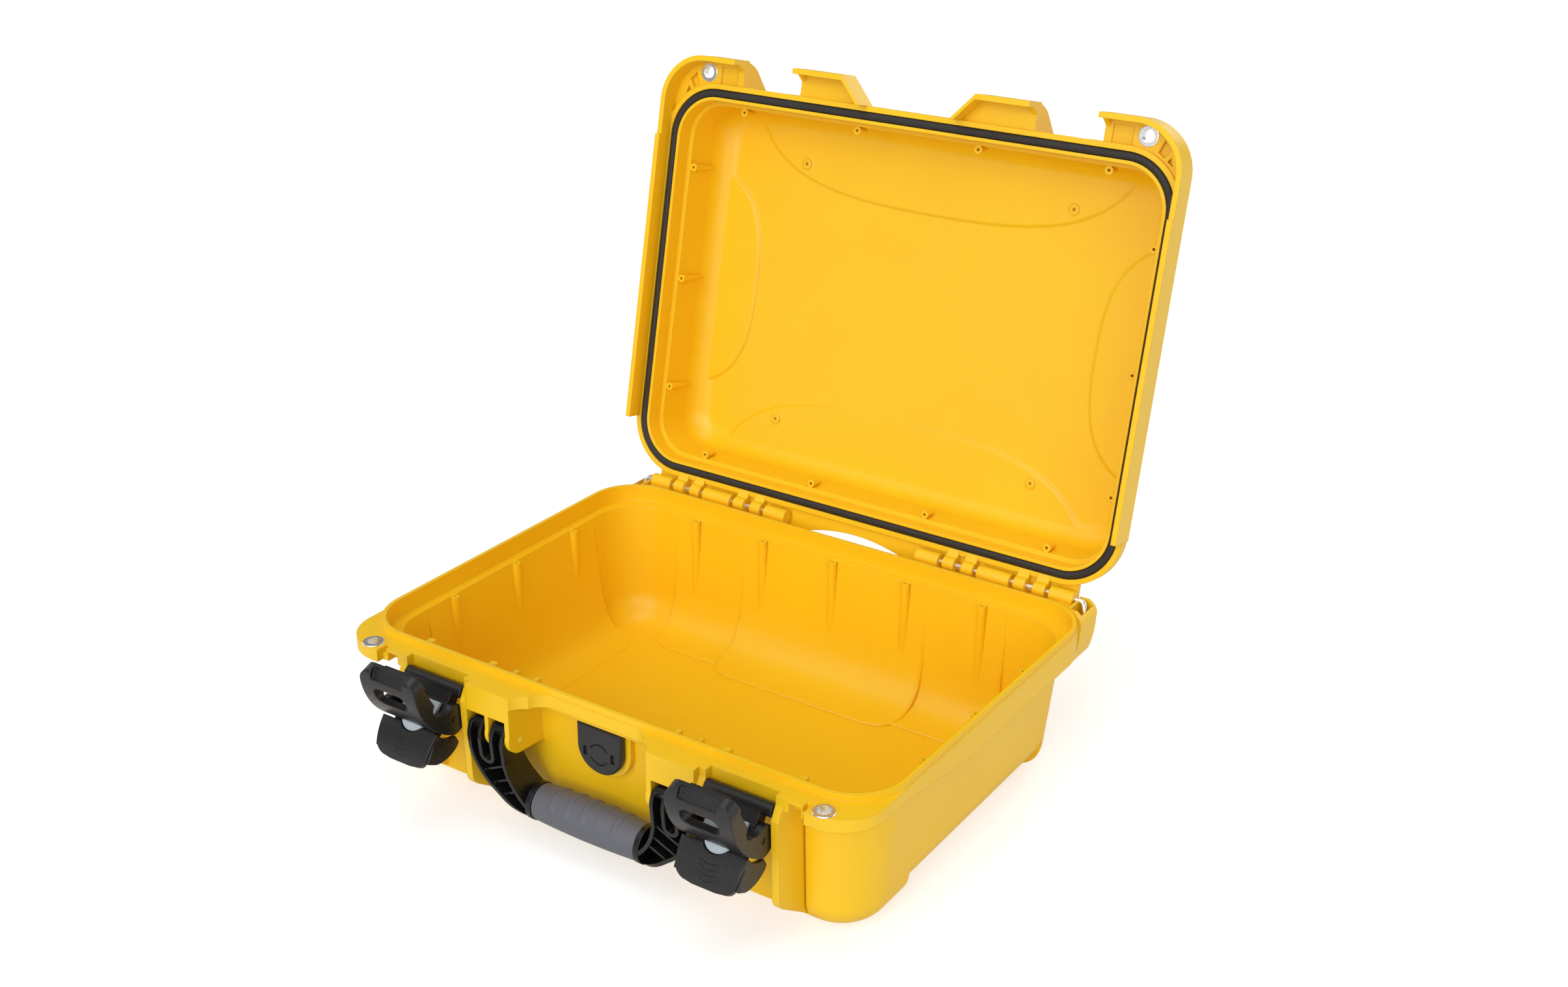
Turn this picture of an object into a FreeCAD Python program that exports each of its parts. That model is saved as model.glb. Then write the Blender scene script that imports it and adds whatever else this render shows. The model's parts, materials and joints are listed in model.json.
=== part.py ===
import FreeCAD
import Part
import math
import os

V = FreeCAD.Vector

# A yellow hard case, open, with a hinged lid, two claw latches and a folding handle.
# Millimetres. X runs to the right, the front with the latches faces -Y, Z is up.
# The origin lies on the floor under the middle of the seal ring.

# Seal ring and hinge line
RING_WIDTH = 408.0        # middle line of the tongue and the seal, side to side
RING_DEPTH = 294.0        # the same, front to back
RING_CORNER = 36.0
HINGE_HEIGHT = 111.0      # hinge line above the floor
HINGE_SETBACK = 14.0      # hinge line behind the ring
LID_OPEN = 101.6          # opening angle of the lid

# Base shell
WALL = 4.0
FLANGE_DROP = 2.7         # flange top below the hinge line
FLANGE_THICK = 9.0
FLANGE_REACH = 21.5       # flange front edge in front of the ring
FLANGE_CORNER = 31.0
TONGUE_WALL = 3.0
TONGUE_HEIGHT = 4.2
RIM_OUT = 2.5             # rim face outside the ring
BAND_HEIGHT = 20.0        # skirt under the rim at the sides and the back
BAND_WALL = 3.0
BAND_RISE_LENGTH = 80.0   # length over which the skirt rises to the front flange
TUB_INSET = 9.2           # inner wall inside the ring, at the ledge
TUB_CORNER = 34.0
SIDE_DRAFT = 5.5
END_DRAFT = 3.0
FLOOR_THICK = 5.5
FLOOR_FILLET = 24.0
BOTTOM_FILLET = 21.0
FOOT_GAP = 26.0           # scoops between the corner feet, in and up
FOOT_BULGE = 0.16         # how far a scoop's arc bulges out, as a share
FOOT_WIDTH = 84.0         # foot's inner end inside the ring
FOOT_FRONT_LENGTH = 72.0
FOOT_REAR_LENGTH = 42.0
BAY_DEPTH = 5.0           # front bay that holds the latches and the handle
BAY_END = 1.0             # bay past the outer latch lug
BAY_SILL = 12.0           # height of the bay's foot
BAY_SWOOP = 18.0          # length over which the flange edge sweeps out beside the middle
LEDGE_THICK = 3.0
COVE_STEP = 2.0           # coves stand this far in front of the plain inner walls
BACK_COVE_EDGE = 1.1      # height of a cove's edge on the floor
SIDE_COVE_EDGE = 0.25
COVE_CORNER = 20.0
BACK_COVE_INSET = 124.0   # end of the back wall's cove inside the ring's side
BACK_COVE_REACH = 49.0    # cove's reach over the floor and up the wall
BACK_COVE_RISE = 40.0
TAB_INSET = 60.5          # lower cove beside it
TAB_REACH = 38.5
TAB_RISE = 30.0
SIDE_COVE_INSET = 53.5    # ends of the side walls' coves inside the ring's back
SIDE_COVE_REACH = 35.0
SIDE_COVE_RISE = 38.0
LEDGE_OUT = 0.5           # ledge plate outside the ring
BACK_FLANGE_GAP = 1.1     # base back flange clear of the turning lid knuckles

# Screw bosses for an inner panel
BOSS_R = 3.2
BOSS_HOLE_R = 1.1
BOSS_HOLE_DEPTH = 8.0
BASE_BOSS_SHARE_X = 0.307 # pitches as shares of half the ring
BASE_BOSS_SHARE_Y = 0.456
BASE_BOSS_INSET = 2.4
LID_BOSS_SHARES_X = (0.2456, 0.737)
LID_BOSS_SHARE_Y = 0.595
LID_BOSS_INSET = 3.0
LID_BOSS_LENGTH_SIDE = 27.0
LID_BOSS_LENGTH_END = 14.0
LID_BOSS_TIP_R = 1.4
PAD_SHARE_X = 0.554       # four pads on the lid's ceiling
PAD_SHARE_Y = 0.69
PAD_R = 4.0
PAD_HEIGHT = 2.5

# Lid shell
LID_RISE = 62.0           # lid top above the hinge line
LID_SKIN = 4.5
LID_FACE = 2.7            # lower face of the lid's ring above the hinge line
LID_FLANGE_FACE = 5.75    # lower face of the lid's flange above the hinge line
LID_FLANGE_THICK = 5.2
LID_RING_OUT = 7.0        # lid ring's outer face outside the seal ring
LID_DRAFT = 4.5
LID_TOP_FILLET = 20.0
LID_LEDGE = 16.2          # inner ledge above the hinge line
LID_OPENING_INSET = 5.6
LID_CAVITY_FILLET = 17.0
LENS_RISE = 1.6           # raised panels along the edges of the lid's ceiling
LENS_TIP = 14.0           # panel's tips inside the ring, towards the wall
LENS_FLAT = 0.47          # shape of the panel's edge, as shares of its half length
LENS_KNEE = 0.86
END_LENS_REACH = 68.0     # front and back panels: reach from the ring, tips inside its side
END_LENS_INSET = 44.0
SIDE_LENS_REACH = 58.0
SIDE_LENS_INSET = 60.0
LIP_GAP = 1.2             # lid lip clear of the base
LIP_WALL = 4.0
LIP_DROP_FRONT = 9.1      # lip edges below the hinge line
LIP_DROP_SIDE = 11.5
SIDE_LIP_REAR = 48.0      # rear end of the side lip in front of the hinge line
LID_BACK_REACH = 8.0      # back flange behind the hinge line
LID_EAR_GAP = 3.0         # back flange clear of the ears
ARCH_HALF = 43.0          # arched cut-out in the lid's back flange
ARCH_DEPTH = 7.0
WING_ROOT = 18.6          # lid wings beside the middle, at the ring inside the handle brackets
WING_TIP_IN = 0.6         # and at the lip
WING_WALL = 3.5           # plates at the ends of the wings
GUSSET_RISE = 51.0        # top of the latch gussets above the hinge line
POCKET_DEPTH = 3.5        # pockets in the lid's corner flanges

# Seal
SEAL_WIDTH = 6.2
SEAL_DEPTH = 5.0          # depth of the groove
SEAL_GAP = 0.2            # seal clear of the tongue

# Hinges
ROD_R = 2.0
KNUCKLE_R = 5.4
PIN_FIT = 0.05            # running clearance on every pin and rod
ROD_START_IN = 0.5        # rod's straight end inside the innermost knuckle
ROD_PAST = 5.2            # rod's corner past the ear's inner face
ROD_BEND = 4.0
ROD_TAIL = 9.5
BASE_KNUCKLE_SPANS = ((128.5, 109.4), (77.3, 51.4), (19.8, 1.5))   # distances inside the ear
LID_KNUCKLE_SPANS = ((105.5, 96.4), (90.2, 80.8), (48.0, 39.0), (32.7, 23.3))
KNUCKLE_GAP = 0.8         # lid clear of the base knuckles
EAR_INSET = 18.0          # ear's inner face inside the ring's side
EAR_WIDTH = 13.0
EAR_WALL = 2.2
EAR_DROP = 38.0
EAR_FRONT = 20.0          # ear reaches this far in front of the hinge line
EAR_BACK = 6.5

# Padlock eyelets
EYELET_INSET = 25.0       # inside the ring's side
EYELET_SETBACK = 6.9      # behind the flange's front edge
EYELET_BORE_R = 4.6
EYELET_TUBE_R = 5.6
EYELET_FLANGE_R = 7.4
EYELET_FLANGE_THICK = 0.9

# Latches
LATCH_INSET = 82.3        # latch middle inside the ring's side
RECESS_HALF = 25.0
LUG_WALL = 5.3
LUG_DROP = 6.0            # lug's slope below the flange
LUG_SETBACK = 5.0         # flange edge beside a latch, behind the front edge
LUG_STEP = 22.6           # length of that edge outside the latch
RIB_FOOT_Z = 30.0
LEVER_PIVOT_BACK = 5.3    # lever pivot behind the flange front
LEVER_PIVOT_DROP = 13.8   # and below the hinge line
LEVER_OPEN = 42.0         # open lever and claw, turned from upright
CLAW_OPEN = 20.0
LEVER_SHUT = 7.0          # shut lever leans out at its foot, shut claw leans in at its head
CLAW_SHUT = 24.0
LATCH_PIN_R = 2.0
BARREL_R = 4.6
CLAW_PIVOT_IN = 1.9       # claw pivot from the lever pivot, lever shut
CLAW_PIVOT_DROP = 18.5
LATCH_SIDE_GAP = 0.6
LEVER_BODY_HALF = 17.5
CLAW_HALF = 24.0
CLAW_CHEEK = 4.5
CLAW_SKIN = 3.6
CLAW_NOSE = 10.5          # inner face of the hook bar, in front of the claw pivot
CLAW_BAR_Z = 39.5         # underside of the hook above the claw pivot
CLAW_BAR_THICK = 9.0
HOOK_GAP = 0.8
CLAW_CORNER = 9.0         # round top corners of the claw
TOOTH_HALF = 14.0
TOOTH_REACH = 5.0         # tooth under the hook, towards the lid
CATCH_DEPTH = 2.4         # pocket in the lid's ring for the tooth
LOCK_HALF = 14.0
LOCK_FOOT_HALF = 8.6
LOCK_FOOT_GAP = 0.6
LOCK_THICK = 2.4

# Handle
HANDLE_PIN_Y = 9.9        # pin behind the flange front
HANDLE_PIN_DROP = 37.6    # pin below the hinge line
HANDLE_PIN_R = 2.5
HANDLE_LEAN = 6.2         # hanging handle leans towards the case
BRACKET_WIDTH = 36.4      # bracket from its inner face to the latch rib
CHEEK_WALL = 3.8
PRONG_GAP = 0.4
PIN_BITE = 2.5            # handle pin into the latch rib
BRACKET_MID_INSET = 17.2  # middle plate from the latch rib
BRACKET_MID_WALL = 3.0
BRACKET_BOSS_R = 9.0
BRACKET_CAP_Z = 19.0      # cap height under the flange top
BRACKET_CAP_WALL = 3.5
GRIP_INSET = 13.0         # grip's end inside the bracket
GRIP_DROP = 44.7          # grip centre below the pin
GRIP_R = 13.8
GRIP_END_R = 12.6
CORE_R = 8.0
ARM_BACK = 6.0            # arm behind the pin
ARM_RISE = 12.0           # prongs above the pin
ARM_RIB_GAP = 2.2         # arm clear of the latch rib
ARM_WEB = 3.5
ARM_EDGE = 2.6
ARM_RIB = 1.6
ARM_RIB_TILT = 27.0
SLOT_GAP = 2.2            # slot between the prongs clear of the bracket's middle plate
COLLAR_LIP = 0.6          # collar at the grip's end, outside the grip
COLLAR_WIDTH = 4.0

# Pressure valve
VALVE_HALF = 17.8
VALVE_KNEE = 15.5         # length of the shield's straight sides
VALVE_CENTRE = 3.2        # valve's middle below their ends
VALVE_DROP = 5.8          # shield's top below the ledge
VALVE_THICK = 4.6
VALVE_BEVEL = 1.2
VALVE_CLIP_RISE = 1.8     # clips on the shield's top edge
VALVE_CLIP_WIDTH = 5.0
VALVE_CLIP_INSET = 1.6
VALVE_SLOT_HALF = 1.5     # slots beside the middle, and their distance from it
VALVE_SLOT_RISE = 3.4
VALVE_SLOT_OUT = 11.0
VALVE_SEAT_MARGIN = 3.6
VALVE_SEAT_OUT = 4.5      # seat in front of the bay wall
VALVE_BODY_R = 7.0
VALVE_NUT_R = 11.0
VALVE_NUT_THICK = 4.0
VALVE_RING_THICK = 1.2

# Places worked out from the sizes above
SIDE = RING_WIDTH / 2
FRONT = -RING_DEPTH / 2
BACK = RING_DEPTH / 2
HINGE_Y = BACK + HINGE_SETBACK
FLANGE_TOP = HINGE_HEIGHT - FLANGE_DROP
LEDGE_Z = FLANGE_TOP - FLANGE_THICK
FLANGE_FRONT = FRONT - FLANGE_REACH
TONGUE_TOP = FLANGE_TOP + TONGUE_HEIGHT
BAY_EDGE = FRONT - RIM_OUT
BAY_WALL_Y = FRONT + TUB_INSET - WALL + BAY_DEPTH
LIP_IN = FLANGE_FRONT - LIP_GAP
LIP_OUT = LIP_IN - LIP_WALL
SIDE_LIP_IN = SIDE + RIM_OUT + LIP_GAP
SIDE_LIP_OUT = SIDE_LIP_IN + LIP_WALL
EYELET_Y = FLANGE_FRONT + EYELET_SETBACK
LEVER_PIVOT = V(0, FLANGE_FRONT + LEVER_PIVOT_BACK, HINGE_HEIGHT - LEVER_PIVOT_DROP)
CLAW_PIVOT = LEVER_PIVOT + V(0, CLAW_PIVOT_IN, -CLAW_PIVOT_DROP)
HANDLE_PIN = V(0, FLANGE_FRONT + HANDLE_PIN_Y, HINGE_HEIGHT - HANDLE_PIN_DROP)
BAND_BOTTOM = FLANGE_TOP - BAND_HEIGHT
VALVE_TOP = LEDGE_Z - VALVE_DROP
EYELET_X = SIDE - EYELET_INSET
LATCH_X = SIDE - LATCH_INSET
BAY_HALF = LATCH_X + RECESS_HALF + LUG_WALL + BAY_END
RECESS_EDGE = LEVER_PIVOT.y + BARREL_R + LATCH_SIDE_GAP
RIB_IN = LATCH_X - RECESS_HALF - LUG_WALL
CHEEK_IN = RIB_IN - BRACKET_WIDTH
BRACKET_MID = RIB_IN - BRACKET_MID_INSET
GRIP_HALF = CHEEK_IN - GRIP_INSET
WING_INNER = CHEEK_IN - WING_ROOT
WING_TIP = CHEEK_IN - WING_TIP_IN
EAR_INNER = SIDE - EAR_INSET
EAR_OUTER = EAR_INNER + EAR_WIDTH
BASE_KNUCKLES = [(EAR_INNER - a, EAR_INNER - b) for a, b in BASE_KNUCKLE_SPANS]
LID_KNUCKLES = [(EAR_INNER - a, EAR_INNER - b) for a, b in LID_KNUCKLE_SPANS]
ROD_START = BASE_KNUCKLES[0][0] + ROD_START_IN
ROD_END = EAR_INNER + ROD_PAST
LID_BACK_HALF = EAR_INNER - LID_EAR_GAP
HANDLE_PIN_END = RIB_IN + PIN_BITE
LID_LEDGE_Z = HINGE_HEIGHT + LID_LEDGE
LID_TOP = HINGE_HEIGHT + LID_RISE
LID_CEILING = LID_TOP - LID_SKIN
LID_FLANGE_Z = HINGE_HEIGHT + LID_FLANGE_FACE
LID_FLANGE_TOP = LID_FLANGE_Z + LID_FLANGE_THICK
SIDES = (("left", -1), ("right", 1))


def box(x0, x1, y0, y1, z0, z1):
    """Solid block between two corners."""
    return Part.makeBox(x1 - x0, y1 - y0, z1 - z0, V(x0, y0, z0))


def rod_x(x0, x1, y, z, r):
    """Round bar along X."""
    return Part.makeCylinder(r, x1 - x0, V(x0, y, z), V(1, 0, 0))


def post(x, y, z0, z1, r):
    """Round bar along Z."""
    return Part.makeCylinder(r, z1 - z0, V(x, y, z0))


def rounded_rect(x0, x1, y0, y1, r, z):
    """Closed wire round a rectangle with equal round corners, at height z."""
    c = r * (1 - math.sqrt(0.5))
    corners = (
        ((x0 + r, y0), (x1 - r, y0), (x1 - c, y0 + c), (x1, y0 + r)),
        ((x1, y0 + r), (x1, y1 - r), (x1 - c, y1 - c), (x1 - r, y1)),
        ((x1 - r, y1), (x0 + r, y1), (x0 + c, y1 - c), (x0, y1 - r)),
        ((x0, y1 - r), (x0, y0 + r), (x0 + c, y0 + c), (x0 + r, y0)),
    )
    edges = []
    for start, end, middle, turn in corners:
        edges.append(Part.makeLine(V(*start, z), V(*end, z)))
        edges.append(Part.Arc(V(*end, z), V(*middle, z), V(*turn, z)).toShape())
    return Part.Wire(edges)


def ring_wire(grow, z):
    """Seal ring's outline grown evenly, at height z."""
    return rounded_rect(-SIDE - grow, SIDE + grow, FRONT - grow, BACK + grow, RING_CORNER + grow, z)


def ring_prism(grow, z0, z1):
    """Upright block with the grown outline of the seal ring."""
    return Part.Face(ring_wire(grow, z0)).extrude(V(0, 0, z1 - z0))


def ring_wall(inner, outer, z0, z1):
    """Upright wall that follows the seal ring."""
    return ring_prism(outer, z0, z1).cut(ring_prism(inner, z0, z1))


def outline(*steps):
    """Closed wire: a point draws a line, a pair of points an arc through the first."""
    here = first = steps[0]
    edges = []
    for step in steps[1:] + (first,):
        if isinstance(step, tuple):
            edges.append(Part.Arc(here, step[0], step[1]).toShape())
            here = step[1]
        elif (step - here).Length > 1e-6:
            edges.append(Part.makeLine(here, step))
            here = step
    return Part.Wire(edges)


def prism(wire, direction):
    """Solid swept straight from a closed wire."""
    return Part.Face(wire).extrude(direction)


def yz(origin):
    """Point maker for a side profile: out towards the front and up, from an origin."""
    return lambda out, up: V(origin.x, origin.y - out, origin.z + up)


def joined(shapes):
    """One solid from overlapping or touching solids."""
    shapes = list(shapes)
    whole = shapes[0].fuse(shapes[1:]) if len(shapes) > 1 else shapes[0]
    return whole.removeSplitter()


def mirrored(shape):
    """Copy of a shape on the other side of the middle plane."""
    return shape.mirror(V(0, 0, 0), V(1, 0, 0))


def both_sides(shape):
    """A shape and its mirror image."""
    return [shape, mirrored(shape)]


def fillet_level(shape, radius, z):
    """Rounds the edges that lie in one level plane."""
    level = [e for e in shape.Edges if abs(e.BoundBox.ZMin - z) < 1e-4]
    return shape.makeFillet(radius, [e for e in level if e.BoundBox.ZLength < 1e-4])


def tub_wire(grow, z):
    """Outline of the base's drafted inner wall, grown by the wall, at height z."""
    fall = LEDGE_Z - z
    side = SIDE - TUB_INSET + grow - fall * math.tan(math.radians(SIDE_DRAFT))
    end = BACK - TUB_INSET + grow - fall * math.tan(math.radians(END_DRAFT))
    corner = TUB_CORNER + grow - fall * math.tan(math.radians(END_DRAFT))
    return rounded_rect(-side, side, -end, end, corner, z)


def tub(grow, z0, fillet):
    """Drafted tub from z0 to the ledge, with a rounded bottom edge."""
    solid = Part.makeLoft([tub_wire(grow, z0), tub_wire(grow, LEDGE_Z)], True, True)
    return fillet_level(solid, fillet, z0)


def bay_wall(z):
    """Front face of the bay's drafted wall at height z."""
    return BAY_WALL_Y + (LEDGE_Z - z) * math.tan(math.radians(END_DRAFT))


def bay_block(half, push):
    """Drafted block of the front bay, from its wall to well in front of the case."""
    front = FLANGE_FRONT - FLANGE_REACH
    low = V(-half, bay_wall(0) + push, 0)
    high = V(-half, bay_wall(LEDGE_Z) + push, LEDGE_Z)
    wire = outline(V(-half, front, 0), low, high, V(-half, front, LEDGE_Z))
    return prism(wire, V(2 * half, 0, 0))


def foot_gap(edge, draft, place):
    """Profile of a scoop along a lower edge; place turns distance out and height into a point."""
    top = edge + FOOT_GAP * math.tan(math.radians(draft))
    out = edge + FOOT_GAP
    across = top - edge + FOOT_GAP
    middle = place((edge - FOOT_GAP + top) / 2 + FOOT_GAP * FOOT_BULGE, FOOT_GAP / 2 - across * FOOT_BULGE)
    return outline(
        place(edge - FOOT_GAP, 0),
        (middle, place(top, FOOT_GAP)),
        place(out, FOOT_GAP),
        place(out, -WALL),
        place(edge - FOOT_GAP, -WALL),
    )


def foot_gaps():
    """Scoops along the lower edges of the sides and the back that leave a foot at each corner."""
    side = SIDE - TUB_INSET + WALL - LEDGE_Z * math.tan(math.radians(SIDE_DRAFT))
    end = BACK - TUB_INSET + WALL - LEDGE_Z * math.tan(math.radians(END_DRAFT))
    front = FRONT - RIM_OUT + FOOT_FRONT_LENGTH
    rear = BACK + RIM_OUT - FOOT_REAR_LENGTH
    half = SIDE - FOOT_WIDTH
    side_gap = prism(foot_gap(side, SIDE_DRAFT, lambda out, up: V(out, front, up)), V(0, rear - front, 0))
    back_gap = prism(foot_gap(end, END_DRAFT, lambda out, up: V(-half, out, up)), V(2 * half, 0, 0))
    return both_sides(side_gap) + [back_gap]


def cove(wall, reach, rise, edge, plan, place, sweep):
    """Swept cove between an inner wall and the floor, within a plan outline."""
    low = FLOOR_THICK - WALL / 2
    top = LEDGE_Z - LEDGE_THICK
    foot = wall(FLOOR_THICK) - reach
    start = place(foot, FLOOR_THICK + edge)
    end = place(wall(FLOOR_THICK + rise) - COVE_STEP, FLOOR_THICK + rise)
    curve = Part.BezierCurve()
    curve.setPoles([
        start,
        place(foot + reach * 0.72, FLOOR_THICK + 1.5 * edge),
        place(wall(FLOOR_THICK) - 2 * COVE_STEP, FLOOR_THICK + rise * 0.16),
        end,
    ])
    corners = [end, place(wall(top), top), place(wall(top) + WALL, top), place(wall(top) + WALL, low),
               place(foot, low), start]
    lines = [Part.makeLine(a, b) for a, b in zip(corners, corners[1:])]
    section = prism(Part.Wire([curve.toShape()] + lines), sweep)
    return section.common(prism(plan, V(0, 0, LEDGE_Z)))


def side_wall(z):
    """Inner face of the right wall at height z."""
    return SIDE - TUB_INSET - (LEDGE_Z - z) * math.tan(math.radians(SIDE_DRAFT))


def end_wall(z):
    """Inner face of the back wall at height z."""
    return BACK - TUB_INSET - (LEDGE_Z - z) * math.tan(math.radians(END_DRAFT))


def coves():
    """Wide coves along the inner back and side walls, with the corners between them left deep."""
    r = COVE_CORNER
    back_half = SIDE - BACK_COVE_INSET
    tab_half = SIDE - TAB_INSET
    side_half = BACK - SIDE_COVE_INSET
    back_foot = end_wall(FLOOR_THICK) - BACK_COVE_REACH
    tab_foot = end_wall(FLOOR_THICK) - TAB_REACH
    side_foot = side_wall(FLOOR_THICK) - SIDE_COVE_REACH
    across = V(2 * SIDE, 0, 0)
    along = V(0, 2 * BACK, 0)

    def back_place(out, up):
        return V(-SIDE, out, up)

    def side_place(out, up):
        return V(out, FRONT, up)

    back_plan = rounded_rect(-back_half, back_half, back_foot, BACK + r, r, 0)
    tab_plan = rounded_rect(back_half - 2 * r, tab_half, tab_foot, BACK + r, r, 0)
    side_plan = rounded_rect(side_foot, SIDE + r, -side_half, side_half, r, 0)
    low = BACK_COVE_EDGE
    back = cove(end_wall, BACK_COVE_REACH, BACK_COVE_RISE, low, back_plan, back_place, across)
    tab = cove(end_wall, TAB_REACH, TAB_RISE, low, tab_plan, back_place, across)
    side = cove(side_wall, SIDE_COVE_REACH, SIDE_COVE_RISE, SIDE_COVE_EDGE, side_plan, side_place, along)
    return [back] + both_sides(tab) + both_sides(side)


def rim_band():
    """Flange ring, ledge, back flange and the skirt under them at the sides and the back."""
    ring = ring_prism(RIM_OUT, LEDGE_Z, FLANGE_TOP)
    ledge = ring_prism(LEDGE_OUT, LEDGE_Z - LEDGE_THICK, LEDGE_Z)
    back_edge = HINGE_Y - KNUCKLE_R - BACK_FLANGE_GAP
    back = box(-EAR_INNER, EAR_INNER, BACK - RING_CORNER, back_edge, LEDGE_Z, FLANGE_TOP)
    skirt = ring_wall(RIM_OUT - BAND_WALL, RIM_OUT, BAND_BOTTOM, LEDGE_Z)
    start = FLANGE_FRONT
    wedge = outline(
        V(-SIDE_LIP_OUT, start, BAND_BOTTOM),
        V(-SIDE_LIP_OUT, FRONT + RING_CORNER + BAND_RISE_LENGTH, BAND_BOTTOM),
        V(-SIDE_LIP_OUT, FRONT + RING_CORNER, LEDGE_Z),
        V(-SIDE_LIP_OUT, start, LEDGE_Z),
    )
    return [ring, ledge, back, skirt.cut(prism(wedge, V(2 * SIDE_LIP_OUT, 0, 0)))]


def front_flange():
    """Front flange with its round corners, latch recesses and the swept edge of the middle bay."""
    half = SIDE + RIM_OUT
    plate = Part.Face(rounded_rect(-half, half, FLANGE_FRONT, 0, FLANGE_CORNER, LEDGE_Z))
    plate = plate.extrude(V(0, 0, FLANGE_THICK))
    reach = FLANGE_FRONT - LIP_WALL
    low = LEDGE_Z
    near = CHEEK_IN - BAY_SWOOP
    half_way = CHEEK_IN - BAY_SWOOP / 2
    middle = (FLANGE_FRONT + BAY_EDGE) / 2
    bend = BAY_SWOOP * 0.15
    steep = FLANGE_FRONT * 0.75 + BAY_EDGE * 0.25
    gentle = FLANGE_FRONT * 0.1 + BAY_EDGE * 0.9
    bay = outline(
        V(-CHEEK_IN, reach, low),
        V(-CHEEK_IN, FLANGE_FRONT, low),
        (V(-CHEEK_IN + bend, steep, low), V(-half_way, middle, low)),
        (V(-near - bend, gentle, low), V(-near + bend, BAY_EDGE, low)),
        V(near - bend, BAY_EDGE, low),
        (V(near + bend, gentle, low), V(half_way, middle, low)),
        (V(CHEEK_IN - bend, steep, low), V(CHEEK_IN, FLANGE_FRONT, low)),
        V(CHEEK_IN, reach, low),
    )
    cuts = [prism(bay, V(0, 0, FLANGE_THICK))]
    for _, s in SIDES:
        x = s * LATCH_X
        cuts.append(box(x - RECESS_HALF, x + RECESS_HALF, reach, RECESS_EDGE, low, FLANGE_TOP))
    outer = LATCH_X + RECESS_HALF
    edge = FLANGE_FRONT + LUG_SETBACK
    cuts += both_sides(box(RIB_IN, outer + LUG_STEP, reach, edge, low, FLANGE_TOP))
    cuts += both_sides(box(outer + 9.0, outer + 17.5, edge, edge + 6.5, low, FLANGE_TOP - 2.5))
    cuts += both_sides(box(outer + 19.0, outer + LUG_STEP, edge, edge + 4.5, FLANGE_TOP - 4.0, FLANGE_TOP))
    return plate.cut(cuts)


def latch_lug(x0, x1):
    """Lug for the latch pin and the rib below it, down to the foot of the bay."""
    front = FLANGE_FRONT
    profile = outline(
        V(x0, BAY_WALL_Y + WALL / 2, FLANGE_TOP),
        V(x0, front + LUG_SETBACK, FLANGE_TOP),
        V(x0, front + LUG_SETBACK, LEDGE_Z + 3.0),
        V(x0, front, LEDGE_Z - LUG_DROP),
        V(x0, front + 2.5, RIB_FOOT_Z + 6.0),
        (V(x0, front + 4.5, RIB_FOOT_Z + 1.0), V(x0, front + 9.0, RIB_FOOT_Z - 3.0)),
        V(x0, bay_wall(0) + WALL / 2, BAY_SILL / 2),
        V(x0, bay_wall(0) + WALL / 2, BAY_SILL),
    )
    return prism(profile, V(x1 - x0, 0, 0))


def bracket_cheek(x0, x1):
    """Plate of a handle bracket, rounded under the handle pin."""
    p = HANDLE_PIN
    r = BRACKET_BOSS_R
    front = FLANGE_FRONT
    profile = outline(
        V(x0, BAY_WALL_Y + WALL / 2, FLANGE_TOP),
        V(x0, front, FLANGE_TOP),
        V(x0, front, p.z + r * 0.7),
        (V(x0, p.y - r * 0.62, p.z - r * 0.78), V(x0, p.y, p.z - r)),
        V(x0, bay_wall(p.z - r) + WALL / 2, p.z - r - 2.0),
    )
    return prism(profile, V(x1 - x0, 0, 0))


def handle_bracket():
    """Right bracket: inner cheek, middle plate and the cap in front of the prongs."""
    inner = bracket_cheek(CHEEK_IN, CHEEK_IN + CHEEK_WALL)
    middle = bracket_cheek(BRACKET_MID - BRACKET_MID_WALL / 2, BRACKET_MID + BRACKET_MID_WALL / 2)
    front = FLANGE_FRONT
    cap = box(CHEEK_IN, RIB_IN, front, front + BRACKET_CAP_WALL, FLANGE_TOP - BRACKET_CAP_Z, LEDGE_Z)
    return [inner, middle, cap]


def base_knuckle(x0, x1):
    """Knuckle on the base with its gusset down the back."""
    y, z = HINGE_Y, HINGE_HEIGHT
    r = KNUCKLE_R
    rim = BACK + RIM_OUT - BAND_WALL / 2
    profile = outline(
        V(x0, rim, FLANGE_TOP),
        V(x0, y - r, FLANGE_TOP + 0.5),
        (V(x0, y, z + r), V(x0, y + r, z)),
        (V(x0, y + r * 0.75, z - r * 0.66), V(x0, y, z - r)),
        V(x0, rim, BAND_BOTTOM + 2.0),
    )
    return prism(profile, V(x1 - x0, 0, 0))


def ear():
    """Right rear ear with the pocket that holds the bent end of the hinge rod."""
    front = HINGE_Y - EAR_FRONT
    back = HINGE_Y + EAR_BACK
    top = HINGE_HEIGHT
    x0, x1 = EAR_INNER, EAR_OUTER
    mass = outline(
        V(x0, 0, top),
        V(x1 - 6.0, 0, top),
        (V(x1 - 1.2, 0, top - 4.0), V(x1, 0, top - 12.0)),
        (V(x1 - 0.8, 0, top - 24.0), V(x1 - 4.0, 0, top - EAR_DROP)),
        V(x0, 0, top - EAR_DROP),
    )
    block = prism(mass, V(0, back - front, 0))
    block.translate(V(0, front, 0))
    pocket_low = HINGE_HEIGHT - ROD_TAIL - 3.0
    pocket = box(x0 + EAR_WALL, x1 - EAR_WALL, front + 5.0, back - EAR_WALL, pocket_low, top + 1.0)
    return block.cut(pocket)


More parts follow.
